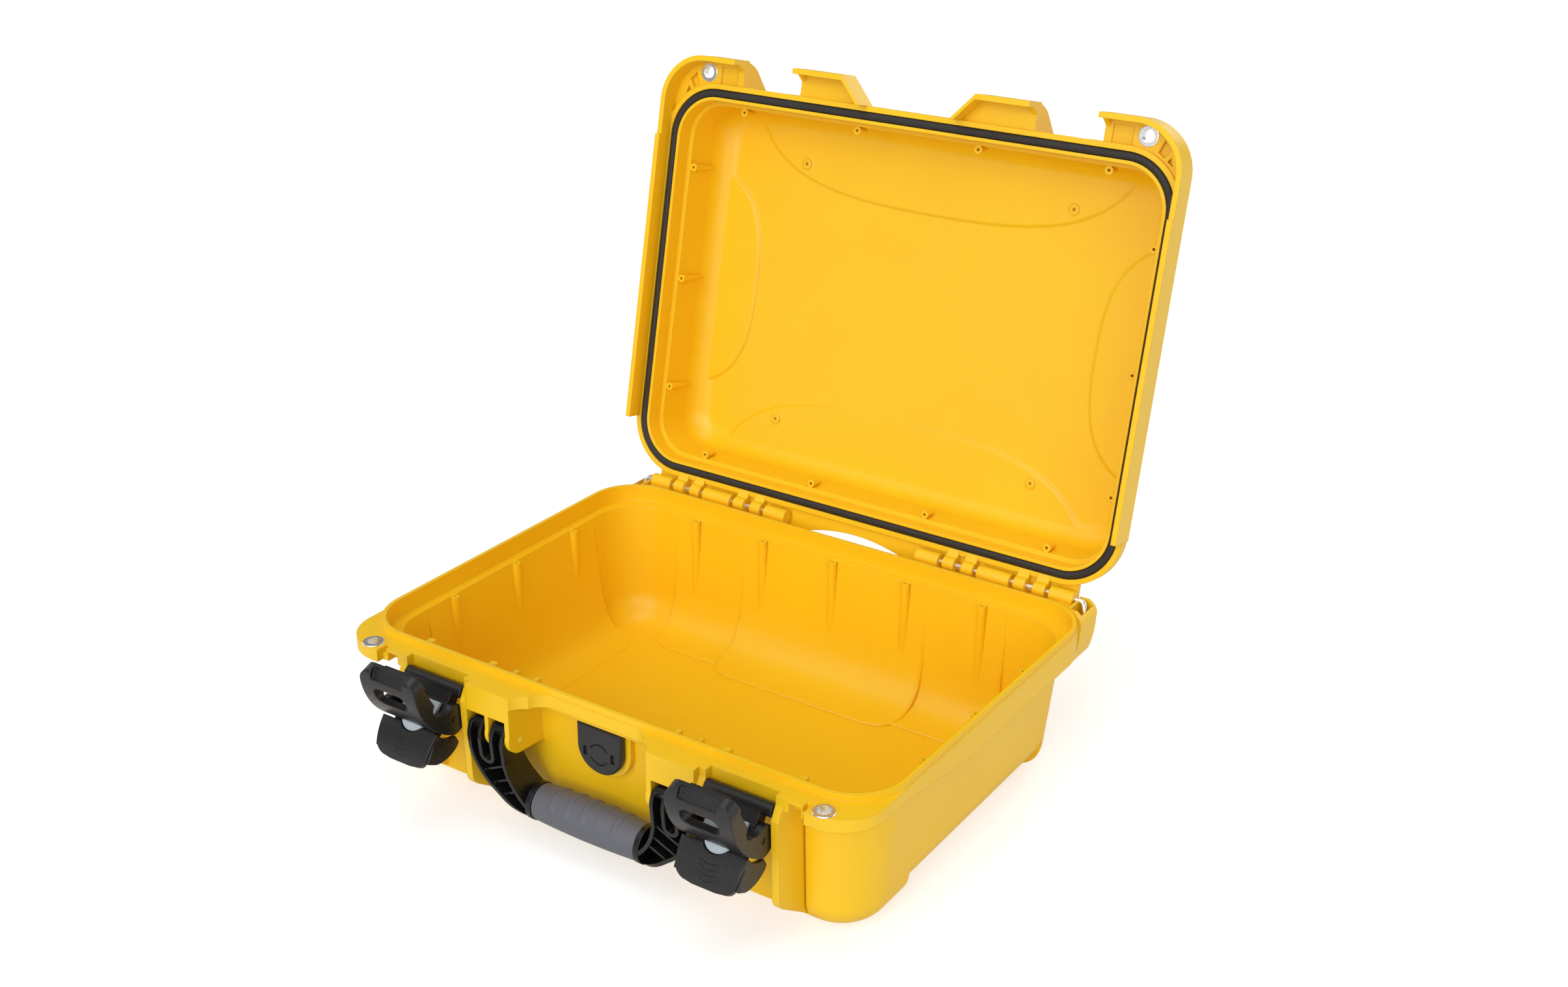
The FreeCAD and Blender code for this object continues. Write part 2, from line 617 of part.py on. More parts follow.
def base_bosses():
    """Upright bosses that run out into the drafted walls, with their screw holes."""
    side_x = SIDE - TUB_INSET - BASE_BOSS_INSET
    end_y = BACK - TUB_INSET - BASE_BOSS_INSET
    pitch_x = BASE_BOSS_SHARE_X * SIDE
    pitch_y = BASE_BOSS_SHARE_Y * BACK
    places = [(s * side_x, i * pitch_y) for s in (-1, 1) for i in (-1, 0, 1)]
    places += [(i * pitch_x, end_y) for i in (-2, -1, 0, 1, 2)]
    inside = tub(0, FLOOR_THICK, FLOOR_FILLET)
    posts = [post(x, y, FLOOR_THICK, LEDGE_Z, BOSS_R).common(inside) for x, y in places]
    holes = [post(x, y, LEDGE_Z - BOSS_HOLE_DEPTH, LEDGE_Z, BOSS_HOLE_R) for x, y in places]
    return posts, holes


def valve_shield(margin, y0, y1):
    """Shield outline of the valve: flat top, straight sides, round bottom."""
    half = VALVE_HALF + margin
    knee = VALVE_TOP - VALVE_KNEE
    top = VALVE_TOP
    wire = outline(
        V(-half, y0, top),
        V(-half, y0, knee),
        (V(0, y0, knee - half), V(half, y0, knee)),
        V(half, y0, top),
    )
    return prism(wire, V(0, y1 - y0, 0))


VALVE_Z = VALVE_TOP - VALVE_KNEE - VALVE_CENTRE
VALVE_SEAT_Y = bay_wall(VALVE_Z) - VALVE_SEAT_OUT
VALVE_INSIDE_Y = bay_wall(VALVE_Z - VALVE_NUT_R) + WALL


def valve_bore(r, y0, y1):
    """Round bar through the valve's place, along Y."""
    return Part.makeCylinder(r, y1 - y0, V(0, y0, VALVE_Z), V(0, 1, 0))


def base_shell():
    """Base: drafted tub, feet, rim, tongue, front flange, ribs, brackets, knuckles and ears."""
    bay = bay_block(BAY_HALF, 0)
    tub_outside = tub(WALL, 0, BOTTOM_FILLET)
    body = tub_outside.cut(foot_gaps())
    cavity = tub(0, FLOOR_THICK, FLOOR_FILLET).cut([bay_block(BAY_HALF + WALL, WALL)] + coves())
    sill_profile = outline(
        V(-BAY_HALF, bay_wall(0) + WALL, 0),
        V(-BAY_HALF, bay_wall(0) + 2.0, 0),
        V(-BAY_HALF, bay_wall(0), 2.0),
        V(-BAY_HALF, bay_wall(BAY_SILL * 2), BAY_SILL * 2),
        V(-BAY_HALF, bay_wall(0) + WALL * 6, BAY_SILL * 2),
        V(-BAY_HALF, bay_wall(0) + WALL * 6, 0),
    )
    sill = prism(sill_profile, V(2 * BAY_HALF, 0, 0))
    sill = sill.common(tub_outside)
    shell = joined([body.cut(bay), sill, front_flange()] + rim_band())
    opening = ring_prism(-TONGUE_WALL / 2, LEDGE_Z, TONGUE_TOP)
    tongue = ring_wall(-TONGUE_WALL / 2, TONGUE_WALL / 2, FLANGE_TOP, TONGUE_TOP)
    shell = joined([shell.cut([cavity, opening]), tongue])

    extras = []
    for x0, x1 in ((RIB_IN, LATCH_X - RECESS_HALF),
                   (LATCH_X + RECESS_HALF, LATCH_X + RECESS_HALF + LUG_WALL)):
        extras += both_sides(latch_lug(x0, x1))
    for piece in handle_bracket():
        extras += both_sides(piece)
    for x0, x1 in BASE_KNUCKLES:
        extras += both_sides(base_knuckle(x0, x1))
    extras += both_sides(ear())
    posts, screw_holes = base_bosses()
    extras += posts
    extras.append(valve_shield(VALVE_SEAT_MARGIN, VALVE_SEAT_Y, bay_wall(VALVE_Z) + WALL / 2))
    extras.append(valve_bore(VALVE_NUT_R + 2.0, bay_wall(VALVE_Z), VALVE_INSIDE_Y))
    shell = joined([shell] + extras)

    cuts = list(screw_holes)
    far = SIDE_LIP_OUT
    p = LEVER_PIVOT
    for _, s in SIDES:
        x = s * LATCH_X
        half = RECESS_HALF + LUG_WALL - 1.0
        cuts.append(rod_x(x - half, x + half, p.y, p.z, LATCH_PIN_R))
        x0, x1 = sorted((s * CHEEK_IN, s * HANDLE_PIN_END))
        cuts.append(rod_x(x0, x1, HANDLE_PIN.y, HANDLE_PIN.z, HANDLE_PIN_R))
        cuts.append(post(s * EYELET_X, EYELET_Y, LEDGE_Z, FLANGE_TOP, EYELET_TUBE_R))
    hinge_line = rod_x(-far, far, HINGE_Y, HINGE_HEIGHT, ROD_R)
    cuts.append(hinge_line.cut(box(-ROD_START, ROD_START, 0, far, 0, far)))
    cuts.append(valve_bore(VALVE_BODY_R, VALVE_SEAT_Y, VALVE_INSIDE_Y))
    return shell.cut(cuts)


def hinge_rod(s):
    """Hinge rod with its outer end bent down and forward into the ear."""
    y, z = HINGE_Y, HINGE_HEIGHT
    heading = V(0.35, -0.35, -0.87).normalize()
    start = V(ROD_START, y, z)
    corner = V(ROD_END, y, z)
    along = V(1, 0, 0)
    turn = along.getAngle(heading)
    reach = ROD_BEND * math.tan(turn / 2)
    a = corner - along * reach
    b = corner + heading * reach
    inward = (heading - along).normalize()
    middle = corner + inward * (ROD_BEND / math.cos(turn / 2) - ROD_BEND)
    end = corner + heading * ROD_TAIL
    path = Part.Wire([
        Part.makeLine(start, a),
        Part.Arc(a, middle, b).toShape(),
        Part.makeLine(b, end),
    ])
    section = Part.Wire([Part.makeCircle(ROD_R, start, along)])
    rod = path.makePipeShell([section], True, False)
    return rod if s > 0 else mirrored(rod)


def eyelet(s, face, depth, up):
    """Rolled steel eyelet: tube through the flange with a round collar on its face."""
    middle = V(s * EYELET_X, EYELET_Y, face)
    direction = V(0, 0, 1 if up else -1)
    thick = EYELET_FLANGE_THICK
    collar = Part.makeCylinder(EYELET_FLANGE_R, thick, middle, direction)
    tube = Part.makeCylinder(EYELET_TUBE_R, depth, middle, direction * -1)
    bore = Part.makeCylinder(EYELET_BORE_R, depth + thick, middle - direction * depth, direction)
    collar = fillet_level(collar, thick * 0.6, face + direction.z * thick)
    return joined([collar, tube]).cut(bore)


def lid_wire(grow, z):
    """Outline of the lid's drafted inner wall, grown by the skin, at height z."""
    inset = TUB_INSET - grow + (z - LID_LEDGE_Z) * math.tan(math.radians(LID_DRAFT))
    return ring_wire(-inset, z)


def lid_outer():
    """Lid ring, the shoulder round the inner ledge, and the drafted dome with a rounded top edge."""
    ring = ring_prism(LID_RING_OUT, HINGE_HEIGHT + LID_FACE, LID_FLANGE_TOP)
    shoulder = ring_prism(LID_SKIN - LID_OPENING_INSET, LID_FLANGE_Z, LID_LEDGE_Z + LID_SKIN)
    dome = Part.makeLoft([lid_wire(LID_SKIN, LID_FLANGE_Z), lid_wire(LID_SKIN, LID_TOP)], True, True)
    return [ring, shoulder, fillet_level(dome, LID_TOP_FILLET, LID_TOP)]


def lens_panel(along, out, reach, inset, place):
    """Raised panel beside a wall of the lid, its curved edge sloped; place makes its points."""
    z = LID_CEILING - LENS_RISE
    tip = along - inset
    near = out - reach
    knee = near + LENS_TIP / 3
    poles = ((0, near), (tip * LENS_FLAT, near), (tip * LENS_KNEE, knee), (tip, out - LENS_TIP))
    edges = []
    for s in (-1, 1):
        curve = Part.BezierCurve()
        curve.setPoles([place(s * a, o, z) for a, o in poles])
        edges.append(curve.toShape())
        edges.append(Part.makeLine(place(s * tip, out - LENS_TIP, z), place(s * tip, out, z)))
    edges.append(Part.makeLine(place(-tip, out, z), place(tip, out, z)))
    panel = prism(Part.Wire(Part.__sortEdges__(edges)), V(0, 0, LENS_RISE + LID_SKIN / 2))
    level = [e for e in panel.Edges if e.BoundBox.ZMax < z + 1e-4]
    return panel.makeChamfer(LENS_RISE * 0.8, [e for e in level if e.Curve.TypeId != "Part::GeomLine"])


def lid_lenses():
    """Raised panels along all four walls of the lid's ceiling."""
    panels = []
    for s in (-1, 1):
        end = lens_panel(SIDE, BACK, END_LENS_REACH, END_LENS_INSET, lambda a, o, z: V(a, s * o, z))
        side = lens_panel(BACK, SIDE, SIDE_LENS_REACH, SIDE_LENS_INSET, lambda a, o, z: V(s * o, a, z))
        panels += [end, side]
    return panels


def lid_hollow():
    """Space inside the lid above and below its inner ledge."""
    upper = Part.makeLoft([lid_wire(0, LID_LEDGE_Z), lid_wire(0, LID_CEILING)], True, True)
    upper = fillet_level(upper, LID_CAVITY_FILLET, LID_CEILING).cut(lid_lenses())
    lower = ring_prism(-LID_OPENING_INSET, HINGE_HEIGHT + LID_FACE, LID_LEDGE_Z)
    return [upper, lower]


def lid_flange():
    """Lid flange with its front wings, side lips and back edge."""
    face = LID_FLANGE_Z
    top = LID_FLANGE_TOP
    corner = FLANGE_CORNER + LIP_GAP + LIP_WALL
    rear = HINGE_Y - SIDE_LIP_REAR
    half = SIDE_LIP_OUT
    low = HINGE_HEIGHT - LIP_DROP_SIDE
    far = rear + 2 * corner
    outer = prism(rounded_rect(-half, half, LIP_OUT, far, corner, low), V(0, 0, top - low))
    inside = rounded_rect(-SIDE_LIP_IN, SIDE_LIP_IN, LIP_IN, far + LIP_WALL, corner - LIP_WALL, low)
    hollow = prism(inside, V(0, 0, face - low))
    trimmed = outer.cut([hollow, box(-half, half, rear, far + corner, low, top)])
    front_low = HINGE_HEIGHT - LIP_DROP_FRONT
    trim = box(-half, half, LIP_OUT, FRONT + RING_CORNER, low, front_low)
    return trimmed.cut(trim)


def lid_wing_cuts():
    """Gaps in the lid's front wings: the two latch notches and the middle."""
    low = HINGE_HEIGHT - LIP_DROP_SIDE
    high = LID_FLANGE_TOP
    wall = FRONT - LID_RING_OUT
    notch_half = RECESS_HALF + LATCH_SIDE_GAP
    cuts = []
    for _, s in SIDES:
        cuts.append(box(s * LATCH_X - notch_half, s * LATCH_X + notch_half, LIP_OUT, wall, low, high))
    middle = outline(
        V(-WING_INNER, wall, low),
        V(WING_INNER, wall, low),
        V(WING_TIP, LIP_OUT, low),
        V(-WING_TIP, LIP_OUT, low),
    )
    cuts.append(prism(middle, V(0, 0, high - low)))
    return cuts


def lid_gusset(x0):
    """Plate beside a latch notch, from the lip up the outside of the dome."""
    low = HINGE_HEIGHT - LIP_DROP_FRONT
    root = FRONT + TUB_INSET
    profile = outline(
        V(x0, LIP_OUT, low),
        V(x0, LIP_OUT, HINGE_HEIGHT + 2.0),
        (V(x0, LIP_OUT + 2.2, HINGE_HEIGHT + 14.0), V(x0, LIP_OUT + 6.6, HINGE_HEIGHT + 23.0)),
        V(x0, root - 2.0, HINGE_HEIGHT + GUSSET_RISE),
        V(x0, root, HINGE_HEIGHT + GUSSET_RISE),
        V(x0, root, LID_FLANGE_Z),
        V(x0, LIP_IN + 5.0, LID_FLANGE_Z),
        V(x0, LIP_IN, FLANGE_TOP + LIP_GAP),
        V(x0, LIP_IN, low),
    )
    return prism(profile, V(WING_WALL, 0, 0))


def lid_wing_walls():
    """Right half's wing walls: gussets beside the notch and the slanted wall by the middle."""
    notch_half = RECESS_HALF + LATCH_SIDE_GAP
    low = HINGE_HEIGHT - LIP_DROP_FRONT
    wall = FRONT - LID_RING_OUT
    slant = outline(
        V(WING_INNER, wall, low), V(WING_TIP, LIP_OUT, low),
        V(WING_TIP + WING_WALL, LIP_OUT, low), V(WING_INNER + WING_WALL, wall, low),
    )
    hollow = lid_hollow()
    gussets = [lid_gusset(LATCH_X - notch_half - WING_WALL), lid_gusset(LATCH_X + notch_half)]
    return [g.cut(hollow) for g in gussets] + [prism(slant, V(0, 0, LID_FLANGE_TOP - low))]


def lid_pockets():
    """Right half's pockets in the corner flange, beside the eyelet and round the corner."""
    z = LID_FLANGE_Z
    x, y = EYELET_X, EYELET_Y
    panel = box(x - 26.0, x - 11.0, y - 5.0, y + 9.0, z, z + POCKET_DEPTH / 2)
    large = outline(
        V(x + 12.0, y + 1.0, z), V(x + 8.4, y + 9.7, z),
        V(x + 13.2, y + 12.9, z), V(x + 17.4, y + 7.0, z),
    )
    small = outline(V(x + 18.0, y + 11.9, z), V(x + 15.7, y + 14.9, z), V(x + 20.2, y + 17.9, z))
    up = V(0, 0, POCKET_DEPTH)
    return [panel, prism(large, up), prism(small, up)]


def shut_claw_point(out, up):
    """Place of a point of the upright claw once the latch is shut."""
    turn = FreeCAD.Rotation(V(1, 0, 0), -LEVER_SHUT)
    pivot = LEVER_PIVOT + turn.multVec(CLAW_PIVOT - LEVER_PIVOT)
    return pivot + FreeCAD.Rotation(V(1, 0, 0), -CLAW_SHUT).multVec(V(0, -out, up))


def lid_catch(x):
    """Pocket in the lid's ring that the shut claw's tooth hooks into."""
    half = TOOTH_HALF + LATCH_SIDE_GAP
    wall = FRONT - LID_RING_OUT
    tip = shut_claw_point(CLAW_NOSE - TOOTH_REACH, CLAW_BAR_Z)
    return box(x - half, x + half, wall, wall + CATCH_DEPTH, tip.z - HOOK_GAP, LID_FLANGE_TOP)


def lid_back_flange():
    """Back flange between the ears, with its arched middle."""
    face = LID_FLANGE_Z
    wall = BACK + RIM_OUT
    back = HINGE_Y + LID_BACK_REACH
    plate = box(-LID_BACK_HALF, LID_BACK_HALF, wall, back, face, face + LID_FLANGE_THICK)
    arch = outline(
        V(-ARCH_HALF, back, face),
        (V(0, back - ARCH_DEPTH, face), V(ARCH_HALF, back, face)),
    )
    return plate.cut(prism(arch, V(0, 0, LID_FLANGE_THICK)))


def lid_knuckle(x0, x1):
    """Knuckle on the lid with the arm that joins it to the back flange."""
    y, z = HINGE_Y, HINGE_HEIGHT
    r = KNUCKLE_R
    face = z + LID_FLANGE_FACE
    wall = BACK + RIM_OUT + LIP_GAP
    profile = outline(
        V(x0, wall, face + 1.0),
        V(x0, wall, z + LID_FACE),
        V(x0, y - r, z),
        (V(x0, y, z - r), V(x0, y + r, z)),
        V(x0, y + r * 0.6, face + 1.0),
    )
    return prism(profile, V(x1 - x0, 0, 0))


def lid_boss(x, y, length):
    """Boss on the lid's inner ledge that tapers out along the wall."""
    return Part.makeCone(BOSS_R, LID_BOSS_TIP_R, length, V(x, y, LID_LEDGE_Z))


def lid_bosses():
    """Bosses on the inner ledge and pads on the ceiling, with their screw holes."""
    side_x = SIDE - TUB_INSET - LID_BOSS_INSET
    end_y = BACK - TUB_INSET - LID_BOSS_INSET
    pitch_y = LID_BOSS_SHARE_Y * BACK
    sides = [(s * side_x, i * pitch_y) for s in (-1, 1) for i in (-1, 0, 1)]
    ends = [(s * share * SIDE, t * end_y) for s in (-1, 1) for share in LID_BOSS_SHARES_X for t in (-1, 1)]
    posts = [lid_boss(x, y, LID_BOSS_LENGTH_SIDE) for x, y in sides]
    posts += [lid_boss(x, y, LID_BOSS_LENGTH_END) for x, y in ends]
    holes = [post(x, y, LID_LEDGE_Z, LID_LEDGE_Z + BOSS_HOLE_DEPTH, BOSS_HOLE_R) for x, y in sides + ends]
    low = LID_CEILING - PAD_HEIGHT
    for s in (-1, 1):
        for t in (-1, 1):
            x, y = s * PAD_SHARE_X * SIDE, t * PAD_SHARE_Y * BACK
            posts.append(post(x, y, low, LID_CEILING + LID_SKIN / 2, PAD_R))
            holes.append(post(x, y, low, LID_CEILING, BOSS_HOLE_R))
    return posts, holes


def lid_shell_closed():
    """Lid in its closed place."""
    shell = joined(lid_outer() + [lid_flange().cut(lid_wing_cuts()), lid_back_flange()])
    shell = shell.cut(lid_hollow())
    extras = []
    for x0, x1 in LID_KNUCKLES:
        extras += both_sides(lid_knuckle(x0, x1))
    for wall in lid_wing_walls():
        extras += both_sides(wall)
    posts, cuts = lid_bosses()
    shell = joined([shell] + extras + posts)
    face = HINGE_HEIGHT + LID_FACE
    half_seal = SEAL_WIDTH / 2
    cuts.append(ring_wall(-half_seal, half_seal, face, face + SEAL_DEPTH))
    cuts.append(rod_x(-SIDE, SIDE, HINGE_Y, HINGE_HEIGHT, ROD_R + PIN_FIT))
    for pocket in lid_pockets():
        cuts += both_sides(pocket)
    for _, s in SIDES:
        cuts.append(lid_catch(s * LATCH_X))
        cuts.append(post(s * EYELET_X, EYELET_Y, LID_FLANGE_Z, LID_FLANGE_TOP, EYELET_TUBE_R))
        for x0, x1 in BASE_KNUCKLES:
            a, b = sorted((s * (x0 - KNUCKLE_GAP), s * (x1 + KNUCKLE_GAP)))
            cuts.append(rod_x(a, b, HINGE_Y, HINGE_HEIGHT, KNUCKLE_R + KNUCKLE_GAP))
    return shell.cut(cuts)


def seal_closed():
    """Soft seal ring in the lid's groove."""
    face = HINGE_HEIGHT + LID_FACE
    half = SEAL_WIDTH / 2
    return ring_wall(-half, half, TONGUE_TOP + SEAL_GAP, face + SEAL_DEPTH)


def opened(shape):
    """Lid piece turned from its closed place to the open one."""
    turned = shape.copy()
    turned.rotate(V(0, HINGE_Y, HINGE_HEIGHT), V(1, 0, 0), -LID_OPEN)
    return turned


def upright_lever():
    """Upright latch lever about X = 0."""
    p = yz(LEVER_PIVOT)
    half = RECESS_HALF - LATCH_SIDE_GAP
    barrel = rod_x(-half, half, LEVER_PIVOT.y, LEVER_PIVOT.z, BARREL_R)
    spine = outline(
        p(-BARREL_R, 0),
        (p(0, BARREL_R), p(BARREL_R * 0.8, -BARREL_R * 0.6)),
        p(2.2, -10.0), p(2.2, -40.0), p(-3.0, -42.0),
        p(-7.0, -24.0), p(-7.0, -12.0),
    )
    body = prism(spine, V(2 * LEVER_BODY_HALF, 0, 0))
    body.translate(V(-LEVER_BODY_HALF, 0, 0))
    flap_side = outline(
        p(6.5, -32.0),
        (p(5.8, -45.0), p(0.5, -57.0)),
        p(-2.0, -55.0),
        (p(2.2, -45.0), p(2.4, -32.5)),
    )
    flap_half = CLAW_HALF
    flap = prism(flap_side, V(2 * flap_half, 0, 0))
    flap.translate(V(-flap_half, 0, 0))
    low = LEVER_PIVOT.z - 57.5
    high = LEVER_PIVOT.z - 31.5
    front = LEVER_PIVOT.y - 12.0
    shape = outline(
        V(-flap_half, front, high),
        V(flap_half, front, high),
        V(flap_half - 2.0, front, low + 8.0),
        (V(flap_half - 5.5, front, low + 3.0), V(flap_half - 11.0, front, low + 1.2)),
        (V(0, front, low), V(-flap_half + 11.0, front, low + 1.2)),
        (V(-flap_half + 5.5, front, low + 3.0), V(-flap_half + 2.0, front, low + 8.0)),
    )
    flap = flap.common(prism(shape, V(0, 24.0, 0)))
    wall = outline(
        p(6.5, -32.0), p(1.6, -52.0), p(-6.0, -50.0),
        (p(-15.0, -42.0), p(-18.5, -33.0)), p(-18.0, -30.0), p(-12.5, -27.8),
        (p(-3.0, -32.4), p(6.5, -32.0)),
    )
    cheek = prism(wall, V(3.0, 0, 0))
    left = cheek.copy()
    left.translate(V(-flap_half + 0.6, 0, 0))
    cheek.translate(V(flap_half - 3.6, 0, 0))
    web = box(-flap_half + 0.6, flap_half - 0.6, LEVER_PIVOT.y + 3.0, LEVER_PIVOT.y + 6.0,
              LEVER_PIVOT.z - 41.5, LEVER_PIVOT.z - 34.5)
    lens_half = LOCK_FOOT_HALF + 1.5 * LOCK_FOOT_GAP
    lens = outline(
        V(-lens_half, front, LEVER_PIVOT.z - 31.5),
        (V(0, front, LEVER_PIVOT.z - 36.0 - LOCK_FOOT_GAP), V(lens_half, front, LEVER_PIVOT.z - 31.5)),
    )
    notch = prism(lens, V(0, 12.0 + 2.0, 0))
    boss = rod_x(-LEVER_BODY_HALF, LEVER_BODY_HALF, CLAW_PIVOT.y, CLAW_PIVOT.z, 4.4)
    lever = joined([barrel, body, flap, cheek, left, web, boss]).cut(notch)
    lever = lever.cut(rod_x(-half, half, LEVER_PIVOT.y, LEVER_PIVOT.z, LATCH_PIN_R + PIN_FIT))
    return lever.cut(rod_x(-half, half, CLAW_PIVOT.y, CLAW_PIVOT.z, LATCH_PIN_R))


def upright_claw():
    """Upright latch claw about X = 0: two cheeks, a bowed front with a window, and the hook."""
    c = yz(CLAW_PIVOT)
    top = CLAW_BAR_Z + CLAW_BAR_THICK
    side = outline(
        c(4.0, -11.5),
        (c(20.6, 16.0), c(19.0, top - 2.0)),
        c(17.0, top), c(CLAW_NOSE + 0.4, top), c(CLAW_NOSE, top - 2.0),
        c(CLAW_NOSE, CLAW_BAR_Z), c(12.0, CLAW_BAR_Z - 0.5),
        (c(10.5, 30.0), c(8.6, 17.0)),
        (c(6.5, 11.0), c(-3.0, 9.0)),
        (c(-11.0, 0.0), c(4.0, -11.5)),
    )
    bow = prism(side, V(2 * CLAW_HALF, 0, 0))
    bow.translate(V(-CLAW_HALF, 0, 0))
    inner_half = CLAW_HALF - CLAW_CHEEK
    hollow_side = outline(
        c(-20.0, -20.0), c(11.0, -20.0),
        (c(20.6 - CLAW_SKIN, 16.0), c(19.2 - CLAW_SKIN, CLAW_BAR_Z)),
        c(-20.0, CLAW_BAR_Z),
    )
    hollow = prism(hollow_side, V(2 * inner_half, 0, 0))
    hollow.translate(V(-inner_half, 0, 0))
    skirt_cut = box(-inner_half, inner_half, CLAW_PIVOT.y - 40.0, CLAW_PIVOT.y + 20.0,
                    CLAW_PIVOT.z - 20.0, CLAW_PIVOT.z + 1.0)
    y0 = CLAW_PIVOT.y - 30.0
    z = CLAW_PIVOT.z
    window = outline(
        V(-8.5, y0, z + 36.5), V(8.5, y0, z + 36.5),
        (V(12.4, y0, z + 34.9), V(14.0, y0, z + 31.0)),
        V(14.0, y0, z + 29.0),
        (V(12.4, y0, z + 25.1), V(8.5, y0, z + 23.5)),
        V(-8.5, y0, z + 23.5),
        (V(-12.4, y0, z + 25.1), V(-14.0, y0, z + 29.0)),
        V(-14.0, y0, z + 31.0),
        (V(-12.4, y0, z + 34.9), V(-8.5, y0, z + 36.5)),
    )
    facet = outline(
        c(18.2, top - 6.0), c(24.0, top - 6.0), c(24.0, top + 3.0), c(13.5, top + 3.0), c(13.5, top - 1.2),
    )
    channel = prism(facet, V(2 * TOOTH_HALF, 0, 0))
    channel.translate(V(-TOOTH_HALF, 0, 0))
    bend = CLAW_CORNER * (1 - math.sqrt(0.5))
    shoulder = CLAW_HALF - CLAW_CORNER
    front_view = outline(
        V(-CLAW_HALF, y0, z - 20.0), V(CLAW_HALF, y0, z - 20.0), V(CLAW_HALF, y0, z + top - CLAW_CORNER),
        (V(CLAW_HALF - bend, y0, z + top - bend), V(shoulder, y0, z + top)),
        V(-shoulder, y0, z + top),
        (V(-CLAW_HALF + bend, y0, z + top - bend), V(-CLAW_HALF, y0, z + top - CLAW_CORNER)),
    )
    hook = outline(
        c(CLAW_NOSE + 2.0, CLAW_BAR_Z + 3.0), c(CLAW_NOSE, CLAW_BAR_Z + 2.5),
        c(CLAW_NOSE - TOOTH_REACH, CLAW_BAR_Z + 1.6), c(CLAW_NOSE - TOOTH_REACH, CLAW_BAR_Z),
        c(CLAW_NOSE + 2.0, CLAW_BAR_Z),
    )
    tooth = prism(hook, V(2 * TOOTH_HALF, 0, 0))
    tooth.translate(V(-TOOTH_HALF, 0, 0))
    bow = bow.common(prism(front_view, V(0, 60.0, 0)))
    claw = bow.cut([hollow, skirt_cut, prism(window, V(0, 24.0, 0)), channel]).fuse(tooth)
    turn = FreeCAD.Rotation(V(1, 0, 0), CLAW_SHUT - LEVER_SHUT)
    barrel = CLAW_PIVOT + turn.multVec(LEVER_PIVOT - CLAW_PIVOT)
    clear = rod_x(-CLAW_HALF, CLAW_HALF, barrel.y, barrel.z, BARREL_R + LATCH_SIDE_GAP)
    return claw.cut([clear, rod_x(-CLAW_HALF, CLAW_HALF, CLAW_PIVOT.y, CLAW_PIVOT.z, LATCH_PIN_R + PIN_FIT)])


def upright_lock():
    """Slide lock on the front of the lever, about X = 0, slid down."""
    p = yz(LEVER_PIVOT)
    plate = outline(
        p(3.0, -12.0), p(3.0 + LOCK_THICK, -12.0), p(3.0 + LOCK_THICK, -37.0), p(3.0, -37.0),
    )
    slab = prism(plate, V(2 * LOCK_HALF, 0, 0))
    slab.translate(V(-LOCK_HALF, 0, 0))
    y0 = LEVER_PIVOT.y - 12.0
    z = LEVER_PIVOT.z
    shape = outline(
        V(-LOCK_HALF, y0, z - 12.0), V(LOCK_HALF, y0, z - 12.0), V(LOCK_HALF, y0, z - 24.0),
        V(LOCK_FOOT_HALF, y0, z - 26.0), V(LOCK_FOOT_HALF, y0, z - 31.2),
        (V(0, y0, z - 36.0), V(-LOCK_FOOT_HALF, y0, z - 31.2)),
        V(-LOCK_FOOT_HALF, y0, z - 26.0), V(-LOCK_HALF, y0, z - 24.0),
    )
    return slab.common(prism(shape, V(0, 24.0, 0)))


def placed_latch(shape, x, turn):
    """Latch piece moved to its place and turned about the lever pivot."""
    moved = shape.copy()
    moved.rotate(LEVER_PIVOT, V(1, 0, 0), -turn)
    moved.translate(V(x, 0, 0))
    return moved


def placed_claw(x):
    """Claw carried by the open lever and swung out on its own pin."""
    claw = upright_claw()
    claw.rotate(CLAW_PIVOT, V(1, 0, 0), CLAW_OPEN + LEVER_OPEN)
    return placed_latch(claw, x, LEVER_OPEN)


def arm_outline(inner, outer, front):
    """Front view of the right arm: from the prongs' tops, sweeping in to the grip's lower end."""
    p = HANDLE_PIN
    low = p.z - GRIP_DROP - GRIP_END_R

    def a(x, up):
        return V(x, front, p.z + up)

    return outline(
        a(inner + 4.0, ARM_RISE), a(outer - 4.0, ARM_RISE),
        (a(outer - 1.2, ARM_RISE - 1.2), a(outer, ARM_RISE - 4.0)),
        a(outer, -10.0),
        (a(outer - 6.5, -27.0), a(outer - 19.0, -40.0)),
        (a(outer - 31.0, -49.0), V(GRIP_HALF, front, low)),
        V(GRIP_HALF, front, low + GRIP_END_R),
        (a(inner - 5.5, -31.0), a(inner, -15.0)),
        a(inner, ARM_RISE - 4.0),
        (a(inner + 1.2, ARM_RISE - 1.2), a(inner + 4.0, ARM_RISE)),
    )


def slot_block(half, foot, front, deep):
    """Block with a round foot, in the place of the slot between the prongs."""
    x = BRACKET_MID
    top = HANDLE_PIN.z + ARM_RISE
    wire = outline(
        V(x - half, front, top), V(x - half, front, foot + half),
        (V(x, front, foot), V(x + half, front, foot + half)), V(x + half, front, top),
    )
    return prism(wire, V(0, deep, 0))


